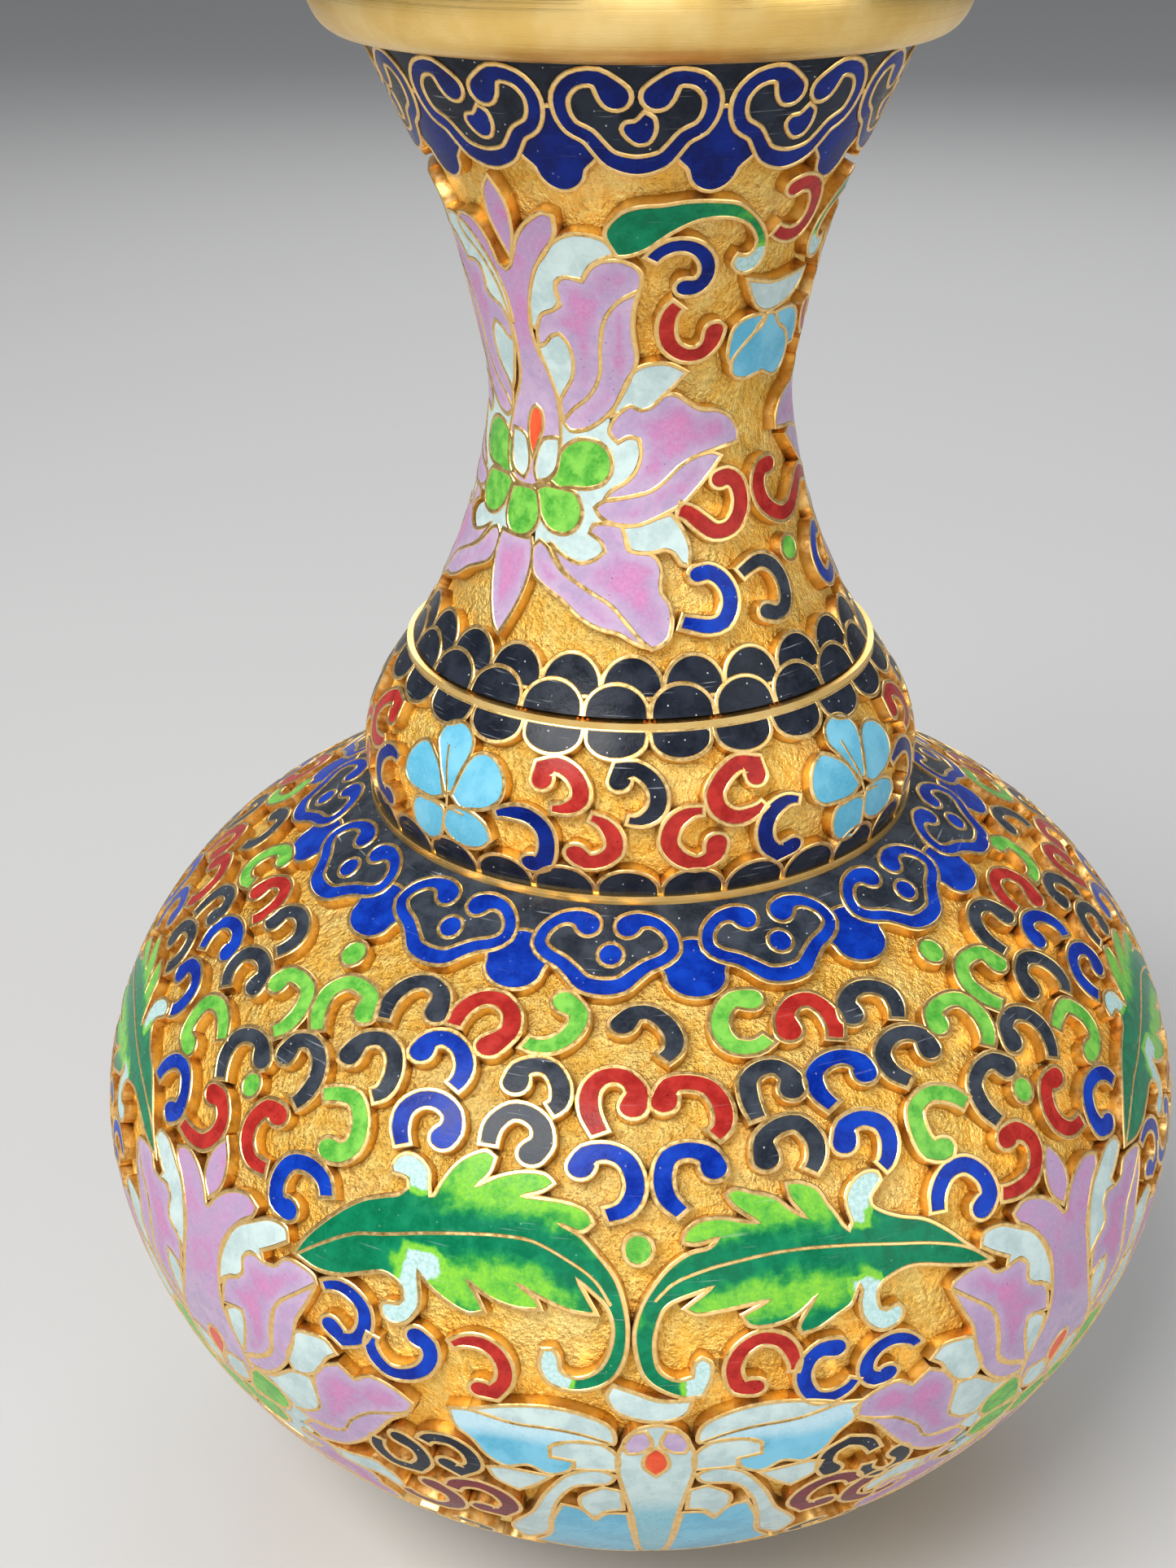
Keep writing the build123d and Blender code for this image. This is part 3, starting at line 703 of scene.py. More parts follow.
LEFT_LEAF = [
    (-33.6, 63.3), (-32.6, 65.1), (-30.4, 67.6), (-27.6, 69.8), (-25.2, 70.8), (-23.9, 71.2), (-23, 72),
    (-23.2, 72.6), (-24.1, 72.8), (-25, 72.8), (-25.3, 73.2), (-24.9, 74.2), (-23.9, 74.7), (-22.4, 74.5),
    (-21.3, 73.8), (-20.9, 72.6), (-20.6, 71.8), (-20.2, 71.9), (-19.8, 72.9), (-19, 74.3), (-17.9, 75.4),
    (-15.8, 76.3), (-14.7, 75.9), (-15, 74.6), (-16.2, 73.3), (-13.9, 74.5), (-11.4, 75.1), (-9.2, 75),
    (-8.4, 74.4), (-9.5, 73.7), (-11.5, 73.1), (-9.5, 73.1), (-6.7, 72.9), (-5, 72.3), (-4.4, 71.4),
    (-5.4, 70.7), (-7.7, 71.2), (-5.8, 70.5), (-4.1, 69.1), (-2.3, 67.1), (-1.4, 64.8), (-1.1, 62.6),
    (-1.4, 60.2), (-2.5, 58.3), (-4.3, 57.3), (-6.4, 57.1), (-8.1, 57.8), (-8.8, 59.4), (-8.5, 60.7),
    (-7.6, 60.8), (-7.1, 60.1), (-6.8, 58.8), (-5.4, 58.3), (-3.7, 59.1), (-2.7, 60.8), (-2.4, 63),
    (-3.1, 64.8), (-5.7, 66.9), (-3.8, 64), (-6.1, 64.2), (-8.6, 65), (-11.1, 66), (-9.3, 64.9), (-8.8, 64.1),
    (-11, 64), (-13.4, 64.5), (-15.7, 65.6), (-14.6, 64.4), (-13.9, 63.3), (-15.2, 62.9), (-17.3, 63.5),
    (-18.9, 64.3), (-19.7, 64.8), (-20.5, 65.5), (-20.2, 64.3), (-20, 63.3), (-20, 62.4), (-20.5, 61.5),
    (-21, 60.9), (-21.8, 60.5), (-22.8, 60.5), (-23.5, 61), (-23.7, 61.6), (-23.5, 62), (-22.9, 62.2),
    (-22, 62.3), (-21.6, 62.8), (-21.7, 63.4), (-22.1, 64), (-22.8, 64.4), (-23.9, 64.6), (-25.8, 64),
    (-28.3, 63.1), (-30.8, 62.8)]
LEFT_RIB = [
    (-33.3, 63.3), (-30.8, 65.1), (-27.6, 66.9), (-24.5, 67.7), (-20.4, 68.7), (-17, 69.3), (-13.3, 69.7),
    (-10.1, 69.6), (-7, 68.5), (-4.2, 66.9), (-2.6, 64.8)]
RIGHT_LEAF = [
    (34.2, 62.4), (32, 64.4), (29.8, 66.6), (27.6, 68.2), (25.1, 69.1), (23.3, 70), (22.5, 70.7),
    (22.6, 71.3), (23.4, 71.9), (24.1, 72.4), (23.9, 73.1), (22.9, 73.4), (21.7, 73.2), (20.6, 72.5),
    (20, 71.6), (20, 70.6), (20.2, 69.6), (19.8, 69.1), (19.3, 69.6), (18.7, 70.7), (18.1, 71.6), (17.3, 73),
    (15.4, 73.8), (14.3, 73.8), (14.5, 72.6), (15.8, 70.8), (14.5, 71.6), (12.9, 72.9), (10.8, 73.5),
    (9.2, 73.9), (8.3, 73.5), (8.9, 72.6), (11.2, 71), (9.5, 71.3), (7.6, 71.7), (5.4, 71.5), (4.2, 70.7),
    (3.9, 69.9), (5.1, 69.7), (7.3, 70.1), (6.4, 69.4), (4.5, 69), (2.6, 67.9), (1.1, 66.3), (0.1, 64.7),
    (-0.5, 62.6), (-0.3, 60.4), (0.4, 58.5), (2, 57.2), (3.9, 56.5), (5.4, 56.6), (6.1, 58.2), (6.1, 59.7),
    (5.3, 60.2), (4.7, 59.7), (4.5, 58.5), (3.2, 58.2), (1.7, 59.1), (1.2, 61), (1.4, 62.9), (2.3, 64.7),
    (6.5, 66.2), (3.9, 64.5), (4.8, 64), (7, 64.1), (9.5, 64.4), (11.5, 64.6), (9, 63.6), (9.5, 62.7),
    (11, 62.4), (13.2, 62.7), (14.8, 63.5), (15.8, 64.3), (14, 61.9), (14.3, 61.3), (15.8, 61.5),
    (17.6, 62.3), (19.1, 63), (19.6, 63.8), (20, 64.5), (20.2, 63.9), (19.9, 63.1), (19.9, 62.2),
    (20.1, 61.4), (20.7, 60.6), (21.6, 60), (22.5, 59.9), (23.4, 60.2), (23.9, 60.7), (24, 61.5),
    (23.6, 61.9), (22.9, 61.8), (22.3, 61.7), (21.8, 62), (21.6, 62.7), (21.7, 63.4), (22.1, 64),
    (22.9, 64.4), (24.9, 64.8), (26.4, 64.6), (28.9, 63.8), (31.4, 63)]
RIGHT_RIB = [
    (34, 62.7), (31.4, 64.6), (28, 66), (24, 67), (20, 67.8), (16, 68.3), (12.5, 68.4), (9, 68.1), (6, 67.6),
    (3, 66.6), (1.3, 65.2)]
# Lines down the middle of the leaves' white curls.
LEAF_WHITES = [
    [(-24.6, 73.6), (-23.4, 73.8), (-22.2, 73.4), (-21.6, 73.1)],
    [(23.4, 72.8), (21.7, 72.4), (21.2, 71.2), (21.1, 70.6)],
    [(-19.3, 65.9), (-21.2, 65.9), (-21.2, 64.5), (-20.7, 63.5), (-20.8, 62.3), (-21.6, 61.4), (-22.9, 61.3)],
    [(20.9, 64), (20.8, 63), (20.9, 62), (21.5, 61), (22.5, 60.8), (23.2, 61)],
    [(-8.1, 60.2), (-7.9, 58.9), (-7.1, 58)],
    [(5.4, 59.7), (5.4, 58.5), (4.8, 57.4)],
]
LEAF_DEGREE = 0.88    # length of a degree of bearing among the leaves, mm


def leaf_tone(bearing, s, gap):
    """Dark along the rib and towards the tip, lime on the lobes, white at the curls."""
    bearing = (bearing + 45) % 90 - 45
    away = np.where(bearing < -0.8, nearest(bearing, s, LEFT_RIB, LEAF_DEGREE),
                    nearest(bearing, s, RIGHT_RIB, LEAF_DEGREE))
    lobes = rise(away, 0.7, 2.2) * rise(-np.abs(bearing), -23, 5) * 0.6 * rise(s, 62.3, 1.5)
    white = [rise(-nearest(bearing, s, line, LEAF_DEGREE), -1.5, 0.5) * 1.7 for line in LEAF_WHITES]
    return np.maximum(lobes, np.max(white, axis=0))


leaves = Piece(BODY)
repeat(leaves.cell, [LEFT_LEAF, RIGHT_LEAF], QUARTER, tone=leaf_tone)
repeat(leaves.line, [LEFT_RIB, RIGHT_RIB], QUARTER)
leaves.make("body_leaves", enamels=[LEAF])

# The body's lotus. The outlines are its right half, and the left half mirrors them.

LOTUS = -45.7
LOTUS_LOW = LOTUS - 0.93
STEM = [
    (0, 42.9), (2.4, 43.5), (4.2, 44.8), (5.0, 46.4), (5.1, 48.5), (4.6, 50.5), (3.7, 52.5), (3, 55),
    (2.8, 58.3), (2.9, 60), (3.7, 61.8), (5.1, 63.5), (6.4, 64.5), (6.7, 65.4), (5.1, 66), (2.8, 65.4),
    (1, 64), (0.2, 62.8)]
STEM_OUTLINE = [(LOTUS + b, s) for b, s in STEM] + [(LOTUS - b, s) for b, s in STEM[:0:-1]]
BUD = [(LOTUS, 63.5), (LOTUS + 1.2, 64.8), (LOTUS + 1.5, 66.3), (LOTUS + 1, 68), (LOTUS, 69.2),
       (LOTUS - 1, 68), (LOTUS - 1.5, 66.3), (LOTUS - 1.2, 64.8)]
LOTUS_WHITE = [
    [(-42.7, 56.3), (-42.7, 58.8), (-42.2, 60.8), (-41.1, 62.8), (-39.3, 64), (-37, 65.1), (-35, 65),
     (-34.5, 64), (-35.9, 63), (-37.5, 62), (-37, 61.1), (-38.4, 61.3), (-39.6, 60.5), (-39.5, 59),
     (-40.6, 58), (-42, 57.3)],
    [(-41.9, 54), (-40.6, 54.9), (-39.5, 55), (-39.3, 53.5), (-39.8, 51.5), (-40.6, 49.3), (-41.5, 51.5)],
    [(-32.7, 56), (-31.3, 56.4), (-29.3, 56.5), (-28.1, 55.5), (-29.3, 54.5), (-30.2, 52.8), (-31.8, 51.5),
     (-33.4, 51), (-34, 52.6), (-33.2, 54.5)],
    [(-39.5, 47.8), (-37, 48.4), (-35, 50), (-33.6, 51), (-31.5, 51.3), (-31.2, 49.5), (-31.3, 47.5),
     (-32.7, 46), (-35, 45), (-36.4, 46.6)],
]
LOTUS_PINK = [
    [(-42.2, 54.5), (-42.1, 56.5), (-41.3, 57.8), (-40, 58.3), (-39.5, 59.3), (-39.7, 60.3), (-38.8, 61.3),
     (-37, 61.1), (-35.6, 61.3), (-34.5, 62.4), (-32.7, 62.5), (-30.9, 62), (-30.6, 61.5), (-32.5, 60),
     (-34.3, 58.5), (-35.4, 57), (-35.9, 54.5), (-36.1, 52.5), (-37.5, 50.8), (-39.3, 49.8), (-40.6, 49),
     (-39.7, 52), (-39.3, 53.8), (-39.6, 55), (-40.9, 54.8)],
    [(-30.6, 61.4), (-31.5, 59.3), (-32.7, 57), (-33.1, 54.5), (-34.3, 51.8), (-35.9, 49.8), (-37.7, 48.5),
     (-40, 48), (-40.4, 48.9), (-37.9, 50.3), (-36.1, 52), (-35.6, 55), (-35, 57.8), (-33.1, 59.5)],
    [(-29.9, 53.4), (-28, 54.5), (-26.3, 53.4), (-24.7, 54.4), (-22.2, 53.9), (-20.5, 52.8), (-20.9, 51.7),
     (-23, 50.6), (-25.1, 49.8), (-27.6, 47.6), (-29.3, 45.1), (-33, 44.2), (-34.5, 45), (-32.7, 46),
     (-31.3, 47.5), (-31.2, 49.5), (-31, 51.6)],
    [(-20.9, 51.4), (-23, 49.8), (-24.7, 47.6), (-26.8, 45.1), (-29.7, 42.6), (-33, 41.2), (-34.8, 42.6),
     (-33, 44.2), (-29.3, 45.1), (-27.6, 47.6), (-25.1, 49.8), (-23, 50.6)],
]
LOTUS_GREEN = [
    [(-40.6, 46.6), (-39.2, 47.7), (-37.6, 47.5), (-36.3, 46.4), (-35.9, 45), (-36.8, 43.5), (-39.3, 43),
     (-41.8, 42.4), (-41.4, 44.6)],
]

# The neck's lotus. The body's hidden lower petals repeat its shapes.

NECK_LOTUS = -41.5
NECK_LOTUS_LOW = -44      # the low petals and lobes hang a little to one side
NECK_STEM = [
    (-41.5, 39.3), (-39.3, 40.5), (-36.7, 41.9), (-32, 43.4), (-26, 44.5), (-23.3, 44.2), (-23.7, 42.7),
    (-27.3, 41), (-32, 39.4), (-35.3, 37.4), (-37.3, 35.5), (-38, 33.8), (-36.7, 31.9), (-33.3, 30),
    (-30.7, 27.5), (-29.7, 24.1), (-30.7, 21.6), (-34.7, 20.2), (-41.5, 19.6), (-47.3, 19.7), (-52.7, 20.5),
    (-55.3, 22.4), (-55, 24.4), (-52, 26.6), (-48, 28.6), (-46.3, 31.3), (-46.7, 33.8), (-48.7, 36.3),
    (-52, 38.3), (-56.7, 39.9), (-62, 41), (-64, 42), (-60, 43.1), (-54, 43), (-50, 41.6), (-46.7, 39.2),
    (-44, 38.8)]
NECK_BUD = [
    (-40, 47.4), (-37.3, 45.2), (-37.7, 42.4), (-40.7, 39.9), (-43.3, 41.6), (-45, 43.8), (-43.3, 46.1)]
NECK_WHITE = [
    [(-37.3, 34.1), (-36.7, 36.1), (-34, 38.3), (-30, 40.2), (-24.7, 41.9), (-19.3, 42.7), (-13.3, 42.7),
     (-9.3, 42.2), (-7, 41.1), (-11.3, 40.6), (-14.7, 39.9), (-17.3, 38.7), (-23.3, 38.8), (-26, 38.3),
     (-25.7, 36.6), (-28, 35.8), (-32.7, 35.2), (-35.3, 33.8)],
    [(-36, 32.2), (-33, 32.6), (-30, 33.4), (-27, 33.7), (-24.5, 33), (-23, 31.5), (-24, 29.8), (-27, 28.6),
     (-29.6, 27.6), (-31.2, 28.3), (-33.5, 30.1)],
    [(-10.5, 26.6), (-7, 28.5), (-3.5, 30.3), (0, 31.1), (5, 31.4), (10, 31.3), (15.8, 30.5), (12, 29.4),
     (8.5, 28.6), (4, 27.5), (0, 27.2), (-3.5, 27.6), (-7, 27)],
    [(-29.7, 24.6), (-28.7, 25.7), (-26, 25), (-20, 25.2), (-14, 26.1), (-10.8, 26.7), (-11, 25), (-8, 24.4),
     (-4, 24.9), (-0.5, 24.7), (0.3, 23.5), (-1.5, 22), (-5, 21), (-10, 20.2), (-13, 19.4), (-15.4, 18.7),
     (-13.5, 18), (-10, 17.4), (-15.5, 17.2), (-16.6, 16.5), (-12.5, 15.8), (-11.3, 15), (-14, 14.2),
     (-19, 13.8), (-25, 14.3), (-30, 15.1), (-36, 15), (-36.5, 17.3), (-34, 19.5), (-30.5, 21.5)],
    [(-6, 17.2), (0, 17.4), (5, 17.9), (10, 18.3), (13, 17.3), (15.3, 16), (16, 14.8), (15, 13.7), (13, 13.9),
     (10.5, 14.9), (8, 15.2), (4, 15), (0, 15), (-3, 15.2), (-4.5, 16.2)],
]
NECK_PINK = [
    [(-35.7, 32.4), (-35.3, 33.8), (-32.7, 35.2), (-28, 35.8), (-25.3, 36.3), (-26.3, 37.7), (-23.3, 38.8),
     (-17.3, 38.6), (-14, 39.9), (-10, 40.5), (-4, 40.4), (0, 39.5), (-0.3, 38), (-6.7, 36.9), (-11.3, 35.2),
     (-13, 33), (-14, 30.2), (-18, 28.3), (-24.7, 26.9), (-28.7, 25.8), (-29.4, 27.5), (-27, 28.6),
     (-24, 29.8), (-23, 31.5), (-24.5, 33), (-27, 33.7), (-30, 33.4), (-33, 32.6)],
    [(-0.3, 38), (-2, 36.2), (-2.3, 34), (-1.2, 31.8), (-2.8, 30.5), (-5.5, 29), (-9, 27.5), (-14, 26.2),
     (-20, 25.3), (-26, 25.1), (-28.7, 25.8), (-24.7, 26.9), (-18, 28.3), (-14, 30.2), (-13, 33),
     (-11.3, 35.2), (-6.7, 36.9)],
    [(-11, 25.2), (-9.5, 26.3), (-7, 27), (-3.5, 27.6), (0, 27.2), (4, 27.5), (8.5, 28.5), (12.5, 28.5),
     (17, 27.7), (22, 27), (28, 26.8), (33, 26.2), (37.3, 24.8), (37.5, 23.8), (33, 23.6), (27, 23.4),
     (20, 23), (14, 22.3), (8, 21), (3, 20.2), (-5, 19.7), (-12.5, 19.3), (-10, 20.2), (-5, 21), (-1.5, 22),
     (0.3, 23.5), (-0.5, 24.7), (-4, 24.9), (-8, 24.4)],
    [(-15.3, 18.7), (-12.5, 19.3), (-5, 19.7), (0, 20), (3, 20.2), (8, 21), (14, 22.3), (20, 23), (26, 23.2),
     (30, 22.8), (25, 21.5), (20, 20.3), (14, 19), (10, 18.5), (5, 17.9), (0, 17.4), (-5, 17.3), (-10, 17.5),
     (-13.5, 18)],
    [(-30, 15.2), (-25, 14.3), (-19, 13.8), (-14, 14.3), (-11.3, 15), (-12.5, 15.8), (-16.5, 16.5),
     (-15.5, 17.2), (-10, 17.4), (-6, 17.2), (-5, 16.3), (-4, 15.3), (-1, 15), (3, 14.9), (5, 14.5),
     (6.5, 13.5), (6, 12.5), (6.2, 11.5), (8, 10.8), (8.8, 10), (8.8, 8.8), (7.5, 7.5), (5, 6.9), (3, 6.7),
     (0, 7.5), (-4, 9), (-9, 10.5), (-14, 11.3), (-20, 12.2), (-24, 13), (-27, 14)],
    [(-36, 14.6), (-34, 15.2), (-31, 14.8), (-28, 13.8), (-24, 12.8), (-18, 11.9), (-12, 11), (-8, 10.3),
     (-4, 8.9), (0, 7.5), (2, 6.8), (-2, 7.3), (-6, 8), (-11, 8.3), (-17, 9.1), (-23, 10.4), (-30, 11.4),
     (-33.5, 12), (-35.5, 13)],
]
NECK_LOW_PETAL = [
    (-52, 14), (-51, 15.2), (-46, 15.1), (-41.5, 15.1), (-37.5, 15.2), (-36.3, 14.2), (-36, 12.5),
    (-37, 10.5), (-39, 8.5), (-41.8, 6.3), (-44, 6.8), (-47.5, 8.5), (-50, 10.3), (-51.8, 12.3)]
NECK_GREEN = [
    [(-33, 20.5), (-30.5, 21.5), (-29.6, 23), (-25, 24.1), (-20, 24.5), (-14, 24.2), (-10.5, 23.2),
     (-10.2, 21.8), (-13, 20.8), (-18, 20.3), (-24, 20.2), (-29, 20)],
    [(-38, 19.5), (-35, 20), (-29, 20), (-23, 19.8), (-20.3, 18.8), (-19.8, 17.8), (-22, 16.6), (-26, 16.1),
     (-31, 16.3), (-35, 17.3), (-36.5, 18.3)],
]
NECK_LOW_LOBE = [
    (-50.5, 18.2), (-49.5, 19.3), (-45, 19.5), (-40, 19.5), (-37.8, 19.2), (-35.9, 17.8), (-36, 16.7),
    (-38.5, 15.6), (-43, 15.1), (-48, 15.4), (-50.6, 16.6)]
DROP = [
    (-41.5, 22.1), (-44, 23.6), (-44.5, 25), (-43, 26.2), (-40.5, 26.7), (-38.2, 26.3), (-37.5, 25),
    (-39, 23.8)]
PAD = [
    (-40.2, 21.2), (-39.3, 22.8), (-37, 23.9), (-33, 24.2), (-30.2, 24.2), (-29.9, 22.8), (-31, 21.4),
    (-34.5, 20.5), (-38.5, 20.2)]


def on_body(shape):
    """A shape of the neck's lotus, at the size and place of the body's."""
    return [(LOTUS + 0.37 * (b - NECK_LOTUS), 69.2 - 0.95 * (47.4 - s)) for b, s in shape]


def stem_tone(bearing, s, gap):
    """Mauve above, paling into the bulb."""
    return rise(s, 51, 12, 0.45)


petals, calyx, stamens = Piece(BODY), Piece(BODY), Piece(BODY)
low_petals = both([on_body(shape) for shape in NECK_PINK[4:]], LOTUS_LOW) + [on_body(NECK_LOW_PETAL)]
repeat(petals.cell, both(LOTUS_PINK, LOTUS) + low_petals, QUARTER, tone=petal_tone)
repeat(petals.cell, both(LOTUS_WHITE + [on_body(NECK_WHITE[4])], LOTUS), QUARTER, kind=2)
repeat(petals.cell, both([on_body(NECK_WHITE[3])], LOTUS), QUARTER, kind=2, low=0.10, wired=False)
petals.make("body_lotus_petals", enamels=[PINK, PALE])
low_lobes = both([on_body(NECK_GREEN[1])], LOTUS_LOW) + [on_body(NECK_LOW_LOBE)]
repeat(calyx.cell, both(LOTUS_GREEN, LOTUS) + low_lobes, QUARTER)
calyx.make("body_lotus_calyx", enamels=[GREEN])
repeat(stamens.cell, [STEM_OUTLINE], QUARTER, low=0.07, tone=stem_tone)
repeat(stamens.cell, [BUD], QUARTER, tone=stem_tone)
repeat(stamens.cell, both([on_body(PAD)], LOTUS), QUARTER, kind=2)
repeat(stamens.cell, [on_body(DROP)], QUARTER, kind=3, low=0.04)
stamens.make("body_lotus_stamens", enamels=[PINK, PALE, ORANGE])

# The pale flower under each pair of leaves. The outlines are its left half.

FLOWER = 1.4
FLOWER_TOP = [
    (-2.4, 57.8), (-0.5, 57.1), (1.6, 56.3), (4.5, 56.2), (3.9, 54.8), (2, 54.1), (-0.5, 54.4), (-2.2, 55.3),
    (-2.9, 56.7)]
FLOWER_STEM = [
    (1.4, 53.7), (-0.2, 53.3), (-0.9, 52.5), (-2, 49.8), (-2, 47.6), (-1.3, 43.4), (-0.7, 39.2), (-0.4, 34),
    (0.2, 26), (1.4, 20)]
FLOWER_STEM_OUTLINE = FLOWER_STEM + mirrored(FLOWER_STEM[-2:0:-1], FLOWER)
FLOWER_DROP = [(1.4, 51), (2.2, 50.1), (2.5, 48.4), (1.4, 47), (0.3, 48.4), (0.5, 50.1)]
FLOWER_BUD = [(0.5, 53), (1, 51.4), (-0.1, 50.3), (-1.1, 50.2), (-1.5, 51.2), (-0.9, 52.6)]
FLOWER_WING = [
    (-15.1, 53.8), (-11.8, 54.8), (-8, 55.2), (-4.7, 54.6), (-2.6, 53.4), (-2.2, 51.7), (-2.4, 51.4),
    (-4.7, 52.3), (-7.2, 52.8), (-11.3, 53)]
FLOWER_SKY = [
    (-17, 53.4), (-16.5, 51.4), (-15.1, 50.1), (-13.8, 48.1), (-12.2, 47.1), (-10.1, 47.7), (-8.2, 46.7),
    (-6.3, 47.6), (-5.9, 48.9), (-8, 49.2), (-8, 50.6), (-6.3, 51.4), (-3.8, 51.4), (-2.4, 51.4),
    (-4.7, 52.3), (-7.2, 52.8), (-11.3, 53), (-15.1, 53.7)]
FLOWER_PALE = [
    [(-3.6, 51.4), (-2, 49.8), (-2, 47.8), (-5.9, 47.8), (-5.9, 48.9), (-8, 49.3), (-7.8, 50.8),
     (-5.9, 51.5)],
    [(-14, 46.4), (-12.6, 46.8), (-8, 46.4), (-9.4, 44.9), (-11.3, 43.4), (-13.4, 44.8)],
    [(-2.2, 47), (-3.8, 47.8), (-6.3, 47), (-8.8, 43.4), (-10.5, 39.2), (-12.2, 36.7), (-13.4, 34),
     (-12.6, 30), (-9.8, 33.6), (-8.8, 38.4), (-7.6, 42.6), (-5.9, 45.1), (-2.8, 45.9)],
    [(-5.5, 43.4), (-5.5, 41.2), (-4.3, 39.2), (-3.2, 40.8), (-1.6, 41.2), (-1.7, 44.6), (-3.4, 45.2)],
]
FLOWER_DEEP = [
    (-1.2, 40.4), (-3.2, 40.2), (-4.4, 38.6), (-5.7, 41), (-7.4, 41.6), (-8.6, 38), (-9.4, 33.4), (-11.6, 29),
    (-8.4, 26.6), (-4.2, 23.6), (-0.2, 22.4), (-0.6, 32)]


def wing_tone(bearing, s, gap):
    """White along the top, sky blue below."""
    return rise(s, 49.5, 3, 0.8)


def heart_tone(bearing, s, gap):
    """Pale above, bluer below."""
    return rise(-s, -46, 8, 0.9)


flower, heart = Piece(BODY), Piece(BODY)
repeat(flower.cell, both([FLOWER_SKY, FLOWER_DEEP], FLOWER), QUARTER, tone=wing_tone)
repeat(flower.cell, both([FLOWER_WING] + FLOWER_PALE, FLOWER) + [FLOWER_TOP], QUARTER, kind=2)
flower.make("body_pale_flowers", enamels=[SKY, PALE])
repeat(heart.cell, [FLOWER_STEM_OUTLINE], QUARTER, low=0.07, tone=heart_tone)
repeat(heart.cell, both([FLOWER_BUD], FLOWER), QUARTER, kind=2)
repeat(heart.cell, [FLOWER_DROP], QUARTER, kind=3)
heart.make("body_pale_flower_hearts", enamels=[PALE, PINK, ORANGE])

LOW_BLUE = [
    [(-28.7, 58.2), (-27.3, 57.3), (-25.9, 57.9), (-25.2, 59.2), (-25.4, 60.8), (-26.5, 61.7), (-28, 62.1),
     (-29.4, 61.8), (-30.4, 61.3)],
    [(-20, 59.8), (-18.9, 59.2), (-18.6, 58.1), (-19.3, 56.8), (-20.8, 55.9), (-22.5, 55.7), (-23.9, 56.6),
     (-24.5, 57.9), (-24.2, 59.1)],
    [(17.3, 59.4), (16, 59.5), (14.8, 58.7), (14.3, 57.5), (14.5, 56.2), (15.4, 55), (17, 54.7), (18.5, 55.3),
     (19.4, 56.4)],
    [(22.2, 55.6), (21.1, 55.4), (20.2, 56.2), (20.3, 57.4), (21.3, 58.4), (22.7, 58.8), (24.1, 58.5),
     (25.1, 57.8), (25.3, 57.1)],
    [(-15.5, 24.5), (-13.5, 23.3), (-14, 21.3), (-17, 20.6), (-20, 21.8), (-20.5, 24.4)],
]
LOW_RED = [
    [(-14, 56.1), (-12.8, 56), (-11.9, 57.1), (-11.8, 58.4), (-12.6, 59.8), (-14.1, 60.5), (-15.8, 60.3),
     (-17.2, 59.5)],
    [(9.9, 57), (8.6, 57.2), (8.1, 58.2), (8.1, 59.3), (8.9, 60.6), (10.6, 61.4), (12.4, 60.9), (13.3, 59.7),
     (13.5, 58.4), (13.2, 57.5)],
]
LOW_BLACK = [
    [(-18, 45.5), (-16.9, 44.7), (-15.4, 46), (-15.7, 47.9), (-17.4, 49.1), (-19.4, 48.8), (-20.3, 47.6)],
    [(-22.5, 47.5), (-21, 46.6), (-20.5, 44.8), (-21.6, 43.1), (-24, 43.1), (-25.3, 44.8), (-25, 46.8)],
    [(18, 44.4), (17.2, 45.8), (17.6, 47.5), (19.2, 48.4), (21, 47.6), (22.4, 45.5)],
    [(25, 44.3), (25.9, 42.9), (25.2, 41.5), (23.6, 41.2), (22, 42.4), (22, 44.2)],
    [(-19.5, 31.4), (-17.6, 30.2), (-18.2, 28), (-21.2, 27.4), (-24, 28.8), (-24.2, 31.2)],
    [(19.5, 31.4), (17.6, 30.2), (18.2, 28), (21.2, 27.4), (24, 28.8), (24.2, 31.2)],
    [(-43.5, 23.5), (-42, 25), (-44, 26.8), (-47.5, 26.2), (-49, 23.8), (-46.8, 21.4)],
]
LOW_MAROON = [
    [(-15.7, 38), (-14, 37.6), (-12.7, 39.4), (-13.3, 41.6), (-15.3, 42.8), (-17.5, 42.3), (-18.6, 40.5)],
    [(-20.5, 40.6), (-18.8, 39.2), (-18.8, 37), (-20.9, 35.6), (-23.8, 36.2), (-24.7, 37.8)],
    [(-31.5, 25.6), (-29, 24.6), (-29.6, 22.2), (-33, 21.4), (-36.2, 23), (-36, 25.8)],
    [(-8.5, 17.6), (-5.5, 16.8), (-5.5, 14.8), (-9, 13.8), (-13, 14.9), (-13.6, 17.2)],
]
LOW_BAND, LOW_HEAD = 0.8, 1.08
scrolls(BODY, "belly_blue_scrolls", COBALT, LOW_BLUE + [mirrored(LOW_BLUE[-1], 0)], QUARTER,
        half=LOW_BAND, head=LOW_HEAD, taper=0.3)
scrolls(BODY, "belly_dark_scrolls", BLACK, LOW_BLACK, QUARTER, half=LOW_BAND, head=LOW_HEAD)
maroon = Piece(BODY)
repeat(maroon.scroll, LOW_RED, QUARTER, kind=2, half=0.78, head=1.0, taper=0.4)
repeat(maroon.scroll, both(LOW_MAROON, FLOWER), QUARTER)
maroon.make("belly_maroon_scrolls", enamels=[MAROON, RED])

scale_row(BODY, "foot_scales", 28, 0, foot=2.6, crest=9.4, ring=(0.6, 2.9, 0.1))


# Shoulder.

